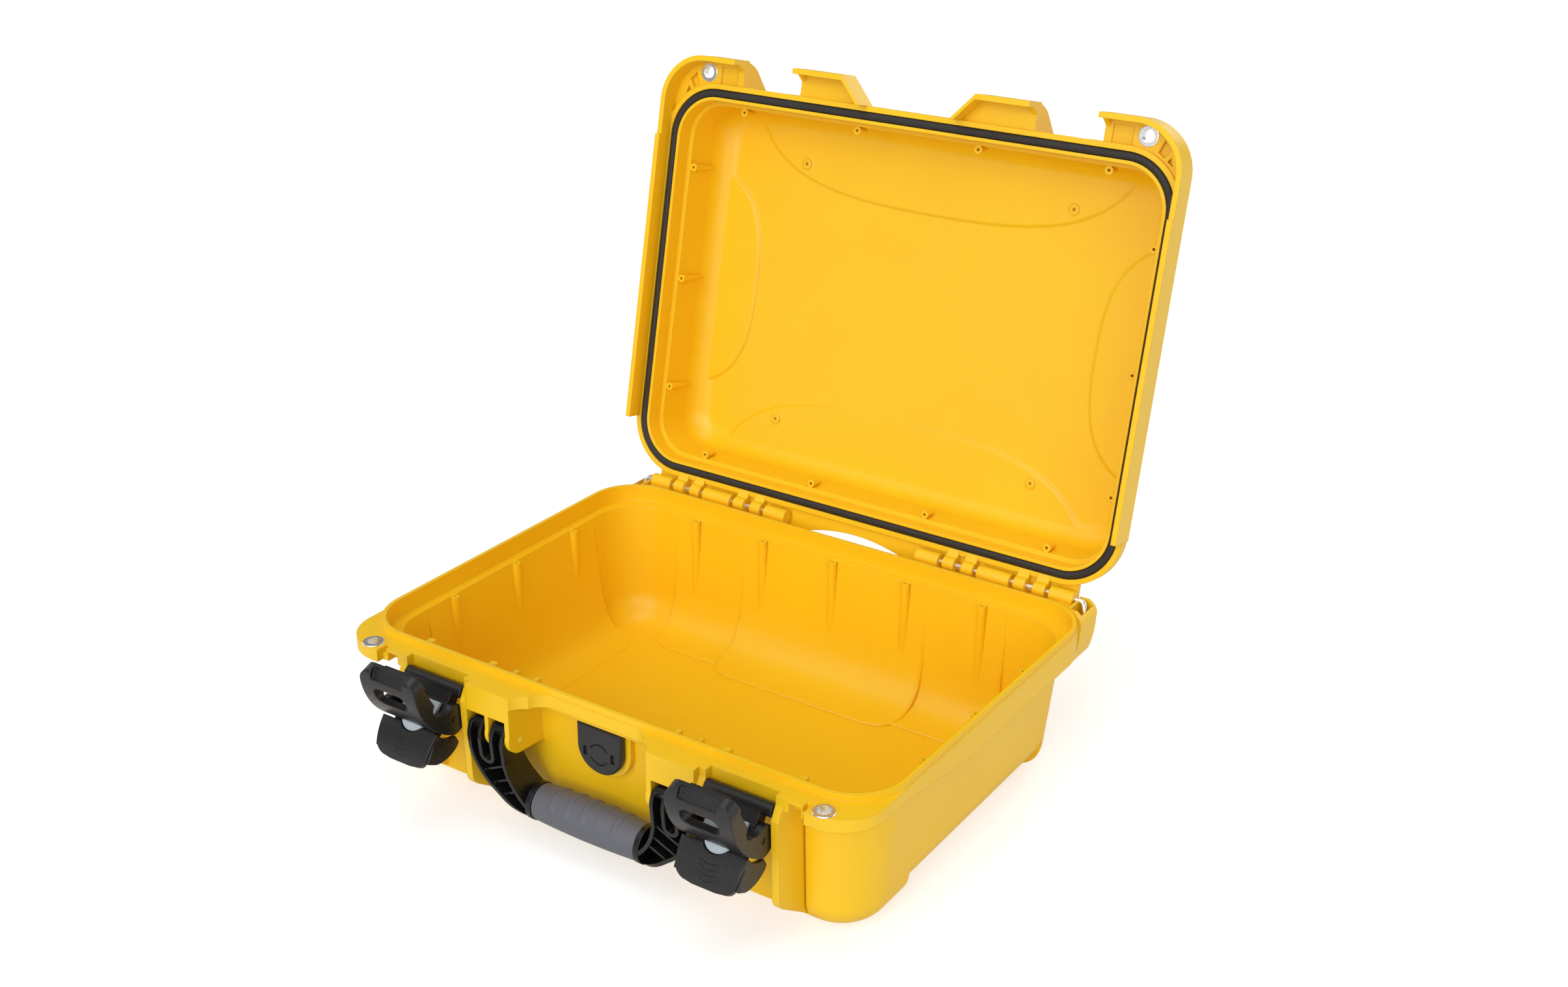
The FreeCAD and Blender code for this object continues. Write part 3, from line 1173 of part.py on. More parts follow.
def handle_arm():
    """Right arm of the hanging handle: two prongs, a ribbed channel and the collar at the grip."""
    p = HANDLE_PIN
    inner = CHEEK_IN + CHEEK_WALL + PRONG_GAP
    outer = RIB_IN - ARM_RIB_GAP
    deep = GRIP_END_R
    front = p.y - deep
    grip_z = p.z - GRIP_DROP
    x0 = GRIP_HALF
    side = outline(
        V(x0, p.y - deep / 2, p.z + ARM_RISE),
        V(x0, p.y + ARM_BACK, p.z + ARM_RISE),
        V(x0, p.y + ARM_BACK, p.z - 13.0), V(x0, p.y + deep, grip_z),
        (V(x0, p.y, grip_z - deep), V(x0, p.y - deep, grip_z)),
        V(x0, p.y - deep, p.z - 6.0),
        (V(x0, p.y - deep * 0.86, p.z + ARM_RISE / 2), V(x0, p.y - deep / 2, p.z + ARM_RISE)),
    )
    edge = arm_outline(inner, outer, front)
    arm = prism(edge, V(0, 2 * deep, 0)).common(prism(side, V(outer - x0, 0, 0)))
    slot_half = BRACKET_MID_WALL / 2 + SLOT_GAP
    slot_foot = p.z - BRACKET_BOSS_R - 6.0
    wall = slot_block(slot_half + ARM_EDGE, slot_foot - ARM_EDGE, front, 2 * deep)
    hollow = edge.makeOffset2D(-ARM_EDGE)
    web_y = p.y + ARM_BACK - ARM_WEB
    pocket = prism(hollow, V(0, web_y - front, 0))
    ribs = [wall]
    for x, up in ((outer - 18.0, -23.0), (outer - 23.5, -31.5), (outer - 30.0, -39.0)):
        rib = box(x - 20.0, x + 20.0, front + ARM_EDGE, web_y, p.z + up, p.z + up + ARM_RIB)
        rib.rotate(V(x, p.y, p.z + up), V(0, 1, 0), ARM_RIB_TILT)
        ribs.append(rib)
    collar = rod_x(x0, x0 + COLLAR_WIDTH, p.y, grip_z, GRIP_END_R + COLLAR_LIP)
    slot = slot_block(slot_half, slot_foot, front, 2 * deep)
    return joined([arm.cut(pocket.cut(ribs)), collar]).cut(slot)


def handle_frame():
    """Moulded handle frame: both arms and the core inside the grip."""
    p = HANDLE_PIN
    core = rod_x(-GRIP_HALF, GRIP_HALF, p.y, p.z - GRIP_DROP, CORE_R)
    frame = joined([core] + both_sides(handle_arm()))
    frame = frame.cut(rod_x(-HANDLE_PIN_END, HANDLE_PIN_END, p.y, p.z, HANDLE_PIN_R + PIN_FIT))
    frame.rotate(p, V(1, 0, 0), HANDLE_LEAN)
    return frame


def handle_grip():
    """Soft crowned grip over the core."""
    p = HANDLE_PIN
    z = p.z - GRIP_DROP
    side = outline(
        V(-GRIP_HALF, p.y, z + CORE_R),
        V(-GRIP_HALF, p.y, z + GRIP_END_R),
        (V(0, p.y, z + GRIP_R), V(GRIP_HALF, p.y, z + GRIP_END_R)),
        V(GRIP_HALF, p.y, z + CORE_R),
    )
    grip = Part.Face(side).revolve(V(0, p.y, z), V(1, 0, 0), 360)
    grip.rotate(p, V(1, 0, 0), HANDLE_LEAN)
    return grip


def valve_pieces():
    """Pressure valve: shield cover, sealing ring, body through the wall, membrane and inner nut."""
    back = VALVE_SEAT_Y - VALVE_RING_THICK
    front = back - VALVE_THICK
    inside = VALVE_INSIDE_Y
    cover = valve_shield(0, front, back)
    cover = cover.makeChamfer(VALVE_BEVEL, [e for e in cover.Edges if e.BoundBox.YMax < front + 1e-4])
    clip_end = VALVE_HALF - VALVE_CLIP_INSET
    clip = box(clip_end - VALVE_CLIP_WIDTH, clip_end, back - VALVE_THICK / 2, back,
               VALVE_TOP - VALVE_BEVEL, VALVE_TOP + VALVE_CLIP_RISE)
    z = VALVE_Z
    x = VALVE_SLOT_OUT
    half = VALVE_SLOT_HALF
    slot = box(x - half, x + half, front, front + 2.0, z - VALVE_SLOT_RISE, z + VALVE_SLOT_RISE)
    arcs = valve_bore(7.8, front, front + 1.2).cut(valve_bore(6.7, front, front + 1.2))
    arcs = arcs.cut(box(-x, x, front, back, z - VALVE_SLOT_RISE, z + VALVE_SLOT_RISE))
    cover = joined([cover] + both_sides(clip)).cut(both_sides(slot) + [arcs])
    ring = valve_bore(VALVE_BODY_R + 5.0, back, VALVE_SEAT_Y)
    ring = ring.cut(valve_bore(VALVE_BODY_R, back, VALVE_SEAT_Y))
    body = valve_bore(VALVE_BODY_R, back, inside + VALVE_NUT_THICK + 1.5)
    bore = valve_bore(VALVE_BODY_R - 2.0, back + 3.0, inside + VALVE_NUT_THICK + 1.5)
    membrane = valve_bore(VALVE_BODY_R - 2.0, back + 3.0, back + 3.6)
    body = body.cut(bore)
    nut = valve_bore(VALVE_NUT_R, inside, inside + VALVE_NUT_THICK)
    nut = nut.cut(valve_bore(VALVE_BODY_R, inside, inside + VALVE_NUT_THICK))
    return {"valve_cover": cover, "valve_ring": ring, "valve_body": body,
            "valve_membrane": membrane, "valve_nut": nut}


def build():
    """All pieces by node name, in the photographed pose."""
    nodes = {
        "base_shell": base_shell(),
        "lid_shell": opened(lid_shell_closed()),
        "lid_seal": opened(seal_closed()),
        "handle_frame": handle_frame(),
        "handle_grip": handle_grip(),
    }
    nodes.update(valve_pieces())
    lever, lock = upright_lever(), upright_lock()
    pin_half = RECESS_HALF + LUG_WALL - 1.0
    for name, s in SIDES:
        x = s * LATCH_X
        nodes["hinge_rod_" + name] = hinge_rod(s)
        nodes["base_eyelet_" + name] = eyelet(s, FLANGE_TOP, FLANGE_THICK, True)
        nodes["lid_eyelet_" + name] = opened(eyelet(s, LID_FLANGE_Z, LID_FLANGE_THICK, False))
        nodes["latch_lever_" + name] = placed_latch(lever, x, LEVER_OPEN)
        nodes["latch_claw_" + name] = placed_claw(x)
        nodes["latch_lock_" + name] = placed_latch(lock, x, LEVER_OPEN)
        latch_pin = rod_x(-pin_half, pin_half, LEVER_PIVOT.y, LEVER_PIVOT.z, LATCH_PIN_R)
        nodes["latch_pin_" + name] = placed_latch(latch_pin, x, 0)
        claw_pin = rod_x(-CLAW_HALF + 0.5, CLAW_HALF - 0.5, CLAW_PIVOT.y, CLAW_PIVOT.z, LATCH_PIN_R)
        nodes["claw_pin_" + name] = placed_latch(claw_pin, x, LEVER_OPEN)
        x0, x1 = sorted((s * CHEEK_IN, s * HANDLE_PIN_END))
        nodes["handle_pin_" + name] = rod_x(x0, x1, HANDLE_PIN.y, HANDLE_PIN.z, HANDLE_PIN_R)
    return nodes


def main():
    os.makedirs("parts", exist_ok=True)
    for name, shape in build().items():
        solids = shape.Solids
        print(name, shape.isValid(), len(solids), round(shape.Volume, 1))
        piece = solids[0] if len(solids) == 1 else shape
        piece.exportStep("parts/%s.step" % name)


if __name__ == "__main__":
    main()
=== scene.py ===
"""Looks of an open yellow hard case: finishes, grip, seal cord, cove rims, thumb ridges and studio."""

import json
import logging
import math
from dataclasses import dataclass, field
from enum import Enum
from typing import Callable, Iterable

import bmesh
import bpy
from mathutils import Matrix, Quaternion, Vector

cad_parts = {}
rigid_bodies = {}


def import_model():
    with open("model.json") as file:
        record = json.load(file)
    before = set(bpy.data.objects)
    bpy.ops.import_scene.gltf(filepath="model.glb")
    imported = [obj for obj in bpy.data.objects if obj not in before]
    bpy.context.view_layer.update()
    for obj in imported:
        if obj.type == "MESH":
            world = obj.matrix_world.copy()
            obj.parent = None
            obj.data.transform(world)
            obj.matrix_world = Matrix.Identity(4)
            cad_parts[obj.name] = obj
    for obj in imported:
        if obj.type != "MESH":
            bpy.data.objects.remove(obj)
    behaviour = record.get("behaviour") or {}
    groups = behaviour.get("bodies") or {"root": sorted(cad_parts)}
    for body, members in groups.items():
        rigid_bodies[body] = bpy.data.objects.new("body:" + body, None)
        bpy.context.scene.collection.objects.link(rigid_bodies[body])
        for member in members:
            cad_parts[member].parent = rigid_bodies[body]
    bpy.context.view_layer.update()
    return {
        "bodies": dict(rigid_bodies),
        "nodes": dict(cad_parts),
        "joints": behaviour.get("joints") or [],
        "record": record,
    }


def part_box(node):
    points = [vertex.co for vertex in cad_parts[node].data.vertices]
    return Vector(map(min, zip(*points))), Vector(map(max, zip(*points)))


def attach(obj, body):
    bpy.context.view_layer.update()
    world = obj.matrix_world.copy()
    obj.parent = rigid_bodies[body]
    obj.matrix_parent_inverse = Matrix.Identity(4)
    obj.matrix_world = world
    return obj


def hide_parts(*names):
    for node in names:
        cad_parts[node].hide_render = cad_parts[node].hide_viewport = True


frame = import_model()

LOG = logging.getLogger("hard_case")
MM = 0.001
SAME_POINT = 1e-7
PHOTO_WIDTH = 2408
SENSOR_WIDTH = 36.0
NOISE_MIDDLE = 0.5
PLAIN_HUE = 0.5
GLOSS_RANGE = (0.3, 0.7)
WHITE = (1.0, 1.0, 1.0, 1.0)
Colour = tuple[float, float, float]
Value = bpy.types.NodeSocket | bpy.types.ID | float | tuple[float, ...]


class Side(Enum):
    """The two mirrored halves of the case."""

    LEFT = "left"
    RIGHT = "right"


class Slot(Enum):
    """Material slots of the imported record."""

    SHELL = "yellow_resin"
    BLACK = "black_nylon"
    GRIP = "grip_rubber"
    SEAL = "seal_foam"


class Wiring:
    """Short hand for adding and joining nodes in one node tree."""

    def __init__(self, tree: bpy.types.NodeTree) -> None:
        """Keeps the tree that nodes are added to.

        Args:
            tree: Shader or geometry node tree.
        """
        self.tree = tree

    def fill(self, node: bpy.types.Node, inputs: dict[str | int, Value]) -> None:
        """Links or sets inputs of a node.

        Args:
            node: The node.
            inputs: A socket to link or a plain value to set, by the input's name or place.
        """
        for name, value in inputs.items():
            if isinstance(value, bpy.types.NodeSocket):
                self.tree.links.new(value, node.inputs[name])
            else:
                node.inputs[name].default_value = value

    def add(self, kind: str, inputs: dict[str | int, Value] | None = None,
            **values: object) -> bpy.types.Node:
        """Adds a node, sets its properties and fills its inputs.

        Args:
            kind: Blender's node type.
            inputs: Sockets or plain values of its inputs.
            values: Properties of the node by name.

        Returns:
            The new node.
        """
        node = self.tree.nodes.new(kind)
        for name, value in values.items():
            setattr(node, name, value)
        self.fill(node, inputs or {})
        return node

    def group(self, tree: bpy.types.NodeTree, **inputs: Value) -> bpy.types.Node:
        """Places a shader group with its own values."""
        return self.add("ShaderNodeGroup", inputs, node_tree=tree)

    def place(self) -> bpy.types.NodeSocket:
        """Object coordinates of the shaded point."""
        return self.add("ShaderNodeTexCoord").outputs["Object"]

    def axes(self) -> bpy.types.Node:
        """Object coordinates split into X, Y and Z."""
        return self.add("ShaderNodeSeparateXYZ", {"Vector": self.place()})

    def math(self, operation: str, *values: Value) -> bpy.types.NodeSocket:
        """Result of a math node with sockets or numbers as its inputs."""
        return self.add("ShaderNodeMath", dict(enumerate(values)), operation=operation).outputs[0]

    def ramp(self, value: bpy.types.NodeSocket, low: float, high: float,
             start: float, end: float) -> bpy.types.NodeSocket:
        """Maps a value smoothly from one range to another.

        Args:
            value: Socket to map.
            low: Value that gives start.
            high: Value that gives end.
            start: Result at low.
            end: Result at high.

        Returns:
            The mapped value.
        """
        node = self.add("ShaderNodeMapRange", {
            "Value": value, "From Min": low, "From Max": high, "To Min": start, "To Max": end,
        }, interpolation_type="SMOOTHSTEP")
        return node.outputs["Result"]

    def seen(self, plain: float, lift: float) -> bpy.types.NodeSocket:
        """A plain value, with a lift added where the camera looks straight at it."""
        path = self.add("ShaderNodeLightPath")
        return self.math("ADD", self.math("MULTIPLY", path.outputs["Is Camera Ray"], lift), plain)


@dataclass
class SurfaceEffects:
    """Shader node groups shared by the finishes."""

    grain_detail: float = 3.0
    grain_break: float = 0.62
    pit_softness: float = 0.35
    drift_detail: float = 2.0
    drift_hue: float = 0.12
    marks_detail: float = 6.0
    marks_break: float = 0.7
    marks_range: tuple[float, float] = (0.5, 0.72)

    def __post_init__(self) -> None:
        """Builds each group once."""
        self.grain = self._grain()
        self.drift = self._drift()
        self.marks = self._marks()

    @staticmethod
    def _group(name: str, inputs: dict[str, float | None],
               outputs: Iterable[str]) -> tuple[Wiring, bpy.types.Node, bpy.types.Node]:
        """Starts a shader group whose sockets are numbers, or a colour where one is named Colour.

        Args:
            name: Name of the group.
            inputs: First value of each input, or None for a colour.
            outputs: Name of each output.

        Returns:
            The group's wiring, its input node and its output node.
        """
        tree = bpy.data.node_groups.new(name, "ShaderNodeTree")
        for way, labels in (("INPUT", inputs), ("OUTPUT", outputs)):
            for label in labels:
                kind = "NodeSocketColor" if label == "Colour" else "NodeSocketFloat"
                socket = tree.interface.new_socket(label, in_out=way, socket_type=kind)
                if way == "INPUT" and inputs[label] is not None:
                    socket.default_value = inputs[label]
        wire = Wiring(tree)
        return wire, wire.add("NodeGroupInput"), wire.add("NodeGroupOutput")

    def _grain(self) -> bpy.types.NodeTree:
        """Fine moulded grain: a height and a gloss mask.

        Returns:
            The group, with inputs Pitch and Coarse and outputs Height and Gloss.
        """
        wire, source, sink = self._group(
            "moulded_grain", {"Pitch": 1500.0, "Coarse": 0.3}, ("Height", "Gloss"))
        spread = {"Vector": wire.place(), "Scale": source.outputs["Pitch"]}
        fine = wire.add("ShaderNodeTexNoise", {
            **spread, "Detail": self.grain_detail, "Roughness": self.grain_break})
        cells = wire.add("ShaderNodeTexVoronoi", {
            **spread, "Smoothness": self.pit_softness}, feature="SMOOTH_F1")
        pits = wire.math("MULTIPLY", cells.outputs["Distance"], source.outputs["Coarse"])
        wire.fill(sink, {
            "Height": wire.math("ADD", fine.outputs["Fac"], pits), "Gloss": fine.outputs["Fac"]})
        return wire.tree

    def _drift(self) -> bpy.types.NodeTree:
        """Slow drift of tone over a moulding.

        Returns:
            The group, with inputs Colour, Size and Amount and the output Colour.
        """
        wire, source, sink = self._group(
            "tone_drift", {"Colour": None, "Size": 14.0, "Amount": 0.05}, ("Colour",))
        cloud = wire.add("ShaderNodeTexNoise", {
            "Vector": wire.place(), "Scale": source.outputs["Size"], "Detail": self.drift_detail})
        swing = wire.math("SUBTRACT", cloud.outputs["Fac"], NOISE_MIDDLE)
        change = wire.math("MULTIPLY", swing, source.outputs["Amount"])
        tint = wire.add("ShaderNodeHueSaturation", {
            "Color": source.outputs["Colour"],
            "Value": wire.math("ADD", change, 1.0),
            "Hue": wire.math("MULTIPLY_ADD", change, self.drift_hue, PLAIN_HUE),
        })
        wire.fill(sink, {"Colour": tint.outputs["Color"]})
        return wire.tree

    def _marks(self) -> bpy.types.NodeTree:
        """Sparse specks and handling marks.

        Returns:
            The group, with inputs Scale and Share and the output Marks.
        """
        wire, source, sink = self._group("handling_marks", {"Scale": 90.0, "Share": 0.3}, ("Marks",))
        cloud = wire.add("ShaderNodeTexNoise", {
            "Vector": wire.place(), "Scale": source.outputs["Scale"],
            "Detail": self.marks_detail, "Roughness": self.marks_break,
        })
        mask = wire.ramp(cloud.outputs["Fac"], *self.marks_range, 0.0, 1.0)
        wire.fill(sink, {"Marks": wire.math("MULTIPLY", mask, source.outputs["Share"])})
        return wire.tree


def blank(name: str) -> tuple[bpy.types.Material, Wiring, bpy.types.Node]:
    """Starts a material.

    Args:
        name: Name of the material.

    Returns:
        The material, its wiring and its shader.
    """
    material = bpy.data.materials.new(name)
    material.use_nodes = True
    return material, Wiring(material.node_tree), material.node_tree.nodes["Principled BSDF"]


@dataclass(frozen=True)
class MouldedFinish:
    """Moulded plastic or rubber with grain, slow drift of tone and soft edges, lengths in metres."""

    name: str
    colour: Colour
    roughness: float
    roughness_swing: float = 0.08
    grain_pitch: float = 1500.0
    grain_coarse: float = 0.3
    grain_depth: float = 0.00003
    drift_size: float = 14.0
    drift_amount: float = 0.05
    edge_radius: float = 0.0006
    edge_samples: int = 6
    marks: float = 0.0
    specular: float = 0.5

    def build(self, effects: SurfaceEffects) -> bpy.types.Material:
        """Makes the material.

        Args:
            effects: Shared node groups.

        Returns:
            The material.
        """
        material, wire, shader = blank(self.name)
        drift = wire.group(effects.drift, Colour=(*self.colour, 1.0), Size=self.drift_size,
                           Amount=self.drift_amount)
        grain = wire.group(effects.grain, Pitch=self.grain_pitch, Coarse=self.grain_coarse)
        marks = wire.group(effects.marks, Share=self.marks)
        gloss = wire.ramp(grain.outputs["Gloss"], *GLOSS_RANGE,
                          self.roughness - self.roughness_swing, self.roughness + self.roughness_swing)
        soft = wire.add("ShaderNodeBevel", {"Radius": self.edge(wire)}, samples=self.edge_samples)
        bump = wire.add("ShaderNodeBump", {
            "Strength": 1.0,
            "Distance": self.grain_depth,
            "Height": self.relief(wire, grain.outputs["Height"]),
            "Normal": soft.outputs["Normal"],
        })
        wire.fill(shader, {
            "Specular IOR Level": self.specular,
            "Base Color": drift.outputs["Colour"],
            "Roughness": wire.math("ADD", gloss, marks.outputs["Marks"]),
            "Normal": bump.outputs["Normal"],
        })
        return material

    def edge(self, wire: Wiring) -> Value:
        """Radius of softened edges, the same all over."""
        return self.edge_radius

    def relief(self, wire: Wiring, height: bpy.types.NodeSocket) -> bpy.types.NodeSocket:
        """Height of the grain, the same all over."""
        return height


@dataclass(frozen=True)
class TubFinish(MouldedFinish):
    """Shell resin whose upper inner walls carry a coarser grain than the floor."""

    grain_from: float = 0.034
    grain_full: float = 0.037
    floor_grain: float = 0.35
    inner_half: tuple[float, float] = (0.1885, 0.1345)
    inner_top: float = 0.075
    inner_radius: float = 0.0024
    inner_foot: float = 0.0095
    foot_radius: float = 0.0001

    def edge(self, wire: Wiring) -> Value:
        """Rounds the upright steps of the coves inside the tub and keeps their low feet crisp.

        Args:
            wire: Wiring of the material.

        Returns:
            The edge radius.
        """
        axes = wire.axes().outputs
        inside = wire.math("LESS_THAN", axes["Z"], self.inner_top)
        for axis, half in zip("XY", self.inner_half):
            near = wire.math("LESS_THAN", wire.math("ABSOLUTE", axes[axis]), half)
            inside = wire.math("MULTIPLY", inside, near)
        low = wire.math("LESS_THAN", axes["Z"], self.inner_foot)
        step = wire.ramp(low, 0.0, 1.0,
                         self.inner_radius - self.edge_radius, self.foot_radius - self.edge_radius)
        return wire.math("ADD", wire.math("MULTIPLY", inside, step), self.edge_radius)

    def relief(self, wire: Wiring, height: bpy.types.NodeSocket) -> bpy.types.NodeSocket:
        """Fades the grain out towards the floor.

        Args:
            wire: Wiring of the material.
            height: Height of the plain grain.

        Returns:
            The faded height.
        """
        up = wire.axes().outputs["Z"]
        share = wire.ramp(up, self.grain_from, self.grain_full, self.floor_grain, 1.0)
        return wire.math("MULTIPLY", height, share)


@dataclass(frozen=True)
class LidFinish(MouldedFinish):
    """Shell resin whose raised ceiling panels run out softly."""

    ceiling_way: tuple[float, float, float] = (0.0, 0.97958, -0.20108)
    ceiling_from: float = 0.1894
    panel_radius: float = 0.0032

    def edge(self, wire: Wiring) -> Value:
        """Gives the panels on the ceiling rounder edges than the rest of the lid.

        Args:
            wire: Wiring of the material.

        Returns:
            The edge radius.
        """
        along = wire.add("ShaderNodeVectorMath", {0: wire.place(), 1: self.ceiling_way},
                         operation="DOT_PRODUCT")
        share = wire.math("GREATER_THAN", along.outputs["Value"], self.ceiling_from)
        return wire.ramp(share, 0.0, 1.0, self.edge_radius, self.panel_radius)


@dataclass(frozen=True)
class SteelFinish:
    """Bright steel with a fine broken gloss."""

    name: str
    colour: Colour = (0.93, 0.92, 0.90)
    roughness: float = 0.26
    roughness_swing: float = 0.03
    grain_pitch: float = 900.0
    grain_coarse: float = 0.1
    drift_size: float = 60.0
    drift_amount: float = 0.05
    edge_radius: float = 0.0004
    edge_samples: int = 4

    def build(self, effects: SurfaceEffects) -> bpy.types.Material:
        """Makes the material.

        Args:
            effects: Shared node groups.

        Returns:
            The material.
        """
        material, wire, shader = blank(self.name)
        drift = wire.group(effects.drift, Colour=(*self.colour, 1.0), Size=self.drift_size,
                           Amount=self.drift_amount)
        grain = wire.group(effects.grain, Pitch=self.grain_pitch, Coarse=self.grain_coarse)
        gloss = wire.ramp(grain.outputs["Gloss"], *GLOSS_RANGE,
                          self.roughness - self.roughness_swing, self.roughness + self.roughness_swing)
        soft = wire.add("ShaderNodeBevel", {"Radius": self.edge_radius}, samples=self.edge_samples)
        wire.fill(shader, {
            "Metallic": 1.0,
            "Base Color": drift.outputs["Colour"],
            "Roughness": gloss,
            "Normal": soft.outputs["Normal"],
        })
        return material


@dataclass
class Finishes:
    """All finishes of the case."""

    effects: SurfaceEffects = field(default_factory=SurfaceEffects)
    yellow: Colour = (0.92, 0.558, 0.006)

    def __post_init__(self) -> None:
        """Builds the materials."""
        self.base = self.make(TubFinish(
            "base_yellow", self.yellow, roughness=0.40, grain_depth=0.00005, edge_radius=0.0011))
        self.lid = self.make(LidFinish(
            "lid_yellow", self.yellow, roughness=0.36, grain_depth=0.00002, edge_radius=0.0011))
        self.latch = self.make(MouldedFinish(
            "latch_black", (0.014, 0.0125, 0.0125), roughness=0.30, grain_depth=0.00011,
            edge_radius=0.0012, drift_amount=0.2))
        self.handle = self.make(MouldedFinish(
            "handle_black", (0.007, 0.0066, 0.0064), roughness=0.27, grain_depth=0.000004,
            edge_radius=0.0008, drift_amount=0.2))
        self.valve = self.make(MouldedFinish(
            "valve_black", (0.022, 0.0205, 0.0205), roughness=0.45, grain_depth=0.00002,
            drift_amount=0.2))
        self.grip = self.make(MouldedFinish(
            "grip_grey", (0.117, 0.122, 0.142), roughness=0.46, grain_pitch=1100.0, drift_amount=0.1,
            marks=0.1))
        self.seal = self.make(MouldedFinish(
            "seal_dark", (0.020, 0.017, 0.016), roughness=0.62, grain_depth=0.00006,
            grain_pitch=900.0, drift_amount=0.2, marks=0.15))
        self.lock = self.make(MouldedFinish(
            "lock_pale", (0.46, 0.53, 0.57), roughness=0.3, grain_depth=0.00001))
        self.membrane = self.make(MouldedFinish(
            "membrane_white", (0.75, 0.75, 0.73), roughness=0.8, grain_depth=0.00004))
        self.steel = self.make(SteelFinish("bright_steel"))
        self.dark_steel = self.make(SteelFinish(
            "dark_steel", colour=(0.06, 0.058, 0.055), roughness=0.35))

    def make(self, finish: MouldedFinish | SteelFinish) -> bpy.types.Material:
        """Material of one finish."""
        return finish.build(self.effects)


class CadDresser:
    """Gives each CAD node its finish."""

    def __init__(self, nodes: dict[str, bpy.types.Object], finishes: Finishes) -> None:
        """Keeps the nodes and finishes.

        Args:
            nodes: CAD objects by node name.
            finishes: The case's materials.
        """
        self.nodes = nodes
        self.finishes = finishes

    def finish_for(self, name: str) -> bpy.types.Material:
        """Chooses the finish of a node.

        Args:
            name: Node name.

        Returns:
            The material of the first stem that the name starts with, or else bright steel.
        """
        f = self.finishes
        stems = {
            "base_shell": f.base, "lid_shell": f.lid, "lid_seal": f.seal, "handle_frame": f.handle,
            "handle_grip": f.grip, "latch_lever": f.latch, "latch_claw": f.latch, "latch_lock": f.lock,
            "valve_membrane": f.membrane, "valve_ring": f.seal, "valve": f.valve,
            "latch_pin": f.dark_steel, "claw_pin": f.dark_steel,
        }
        for stem, material in stems.items():
            if name.startswith(stem):
                return material
        return f.steel

    def dress(self) -> None:
        """Puts the finish on every node."""
        for name, node in self.nodes.items():
            node.data.materials.clear()
            node.data.materials.append(self.finish_for(name))
        LOG.info("dressed %d CAD nodes", len(self.nodes))


def add_object(name: str, data: bpy.types.ID) -> bpy.types.Object:
    """Adds an object to the scene, at the origin.

    Args:
        name: Name of the object.
        data: Its mesh, lamp or camera.

    Returns:
        The object.
    """
    item = bpy.data.objects.new(name, data)
    bpy.context.scene.collection.objects.link(item)
    return item


def finished(name: str, mesh: bpy.types.Mesh, material: bpy.types.Material,
             place: Callable[[Vector], Vector] | None = None) -> bpy.types.Object:
    """Closes a mesh's seams, turns its faces outwards and adds it as a smooth piece at the origin.

    Args:
        name: Name of the piece.
        mesh: Its mesh, metres.
        material: Its finish.
        place: Gives each point's place in the frame, where the mesh isn't there yet.

    Returns:
        The object.
    """
    shape = bmesh.new()
    shape.from_mesh(mesh)
    if place:
        for vert in shape.verts:
            vert.co = place(vert.co)
    bmesh.ops.remove_doubles(shape, verts=shape.verts, dist=SAME_POINT)
    bmesh.ops.recalc_face_normals(shape, faces=shape.faces)
    shape.to_mesh(mesh)
    shape.free()
    mesh.materials.clear()
    mesh.materials.append(material)
    mesh.polygons.foreach_set("use_smooth", [True] * len(mesh.polygons))
    return add_object(name, mesh)


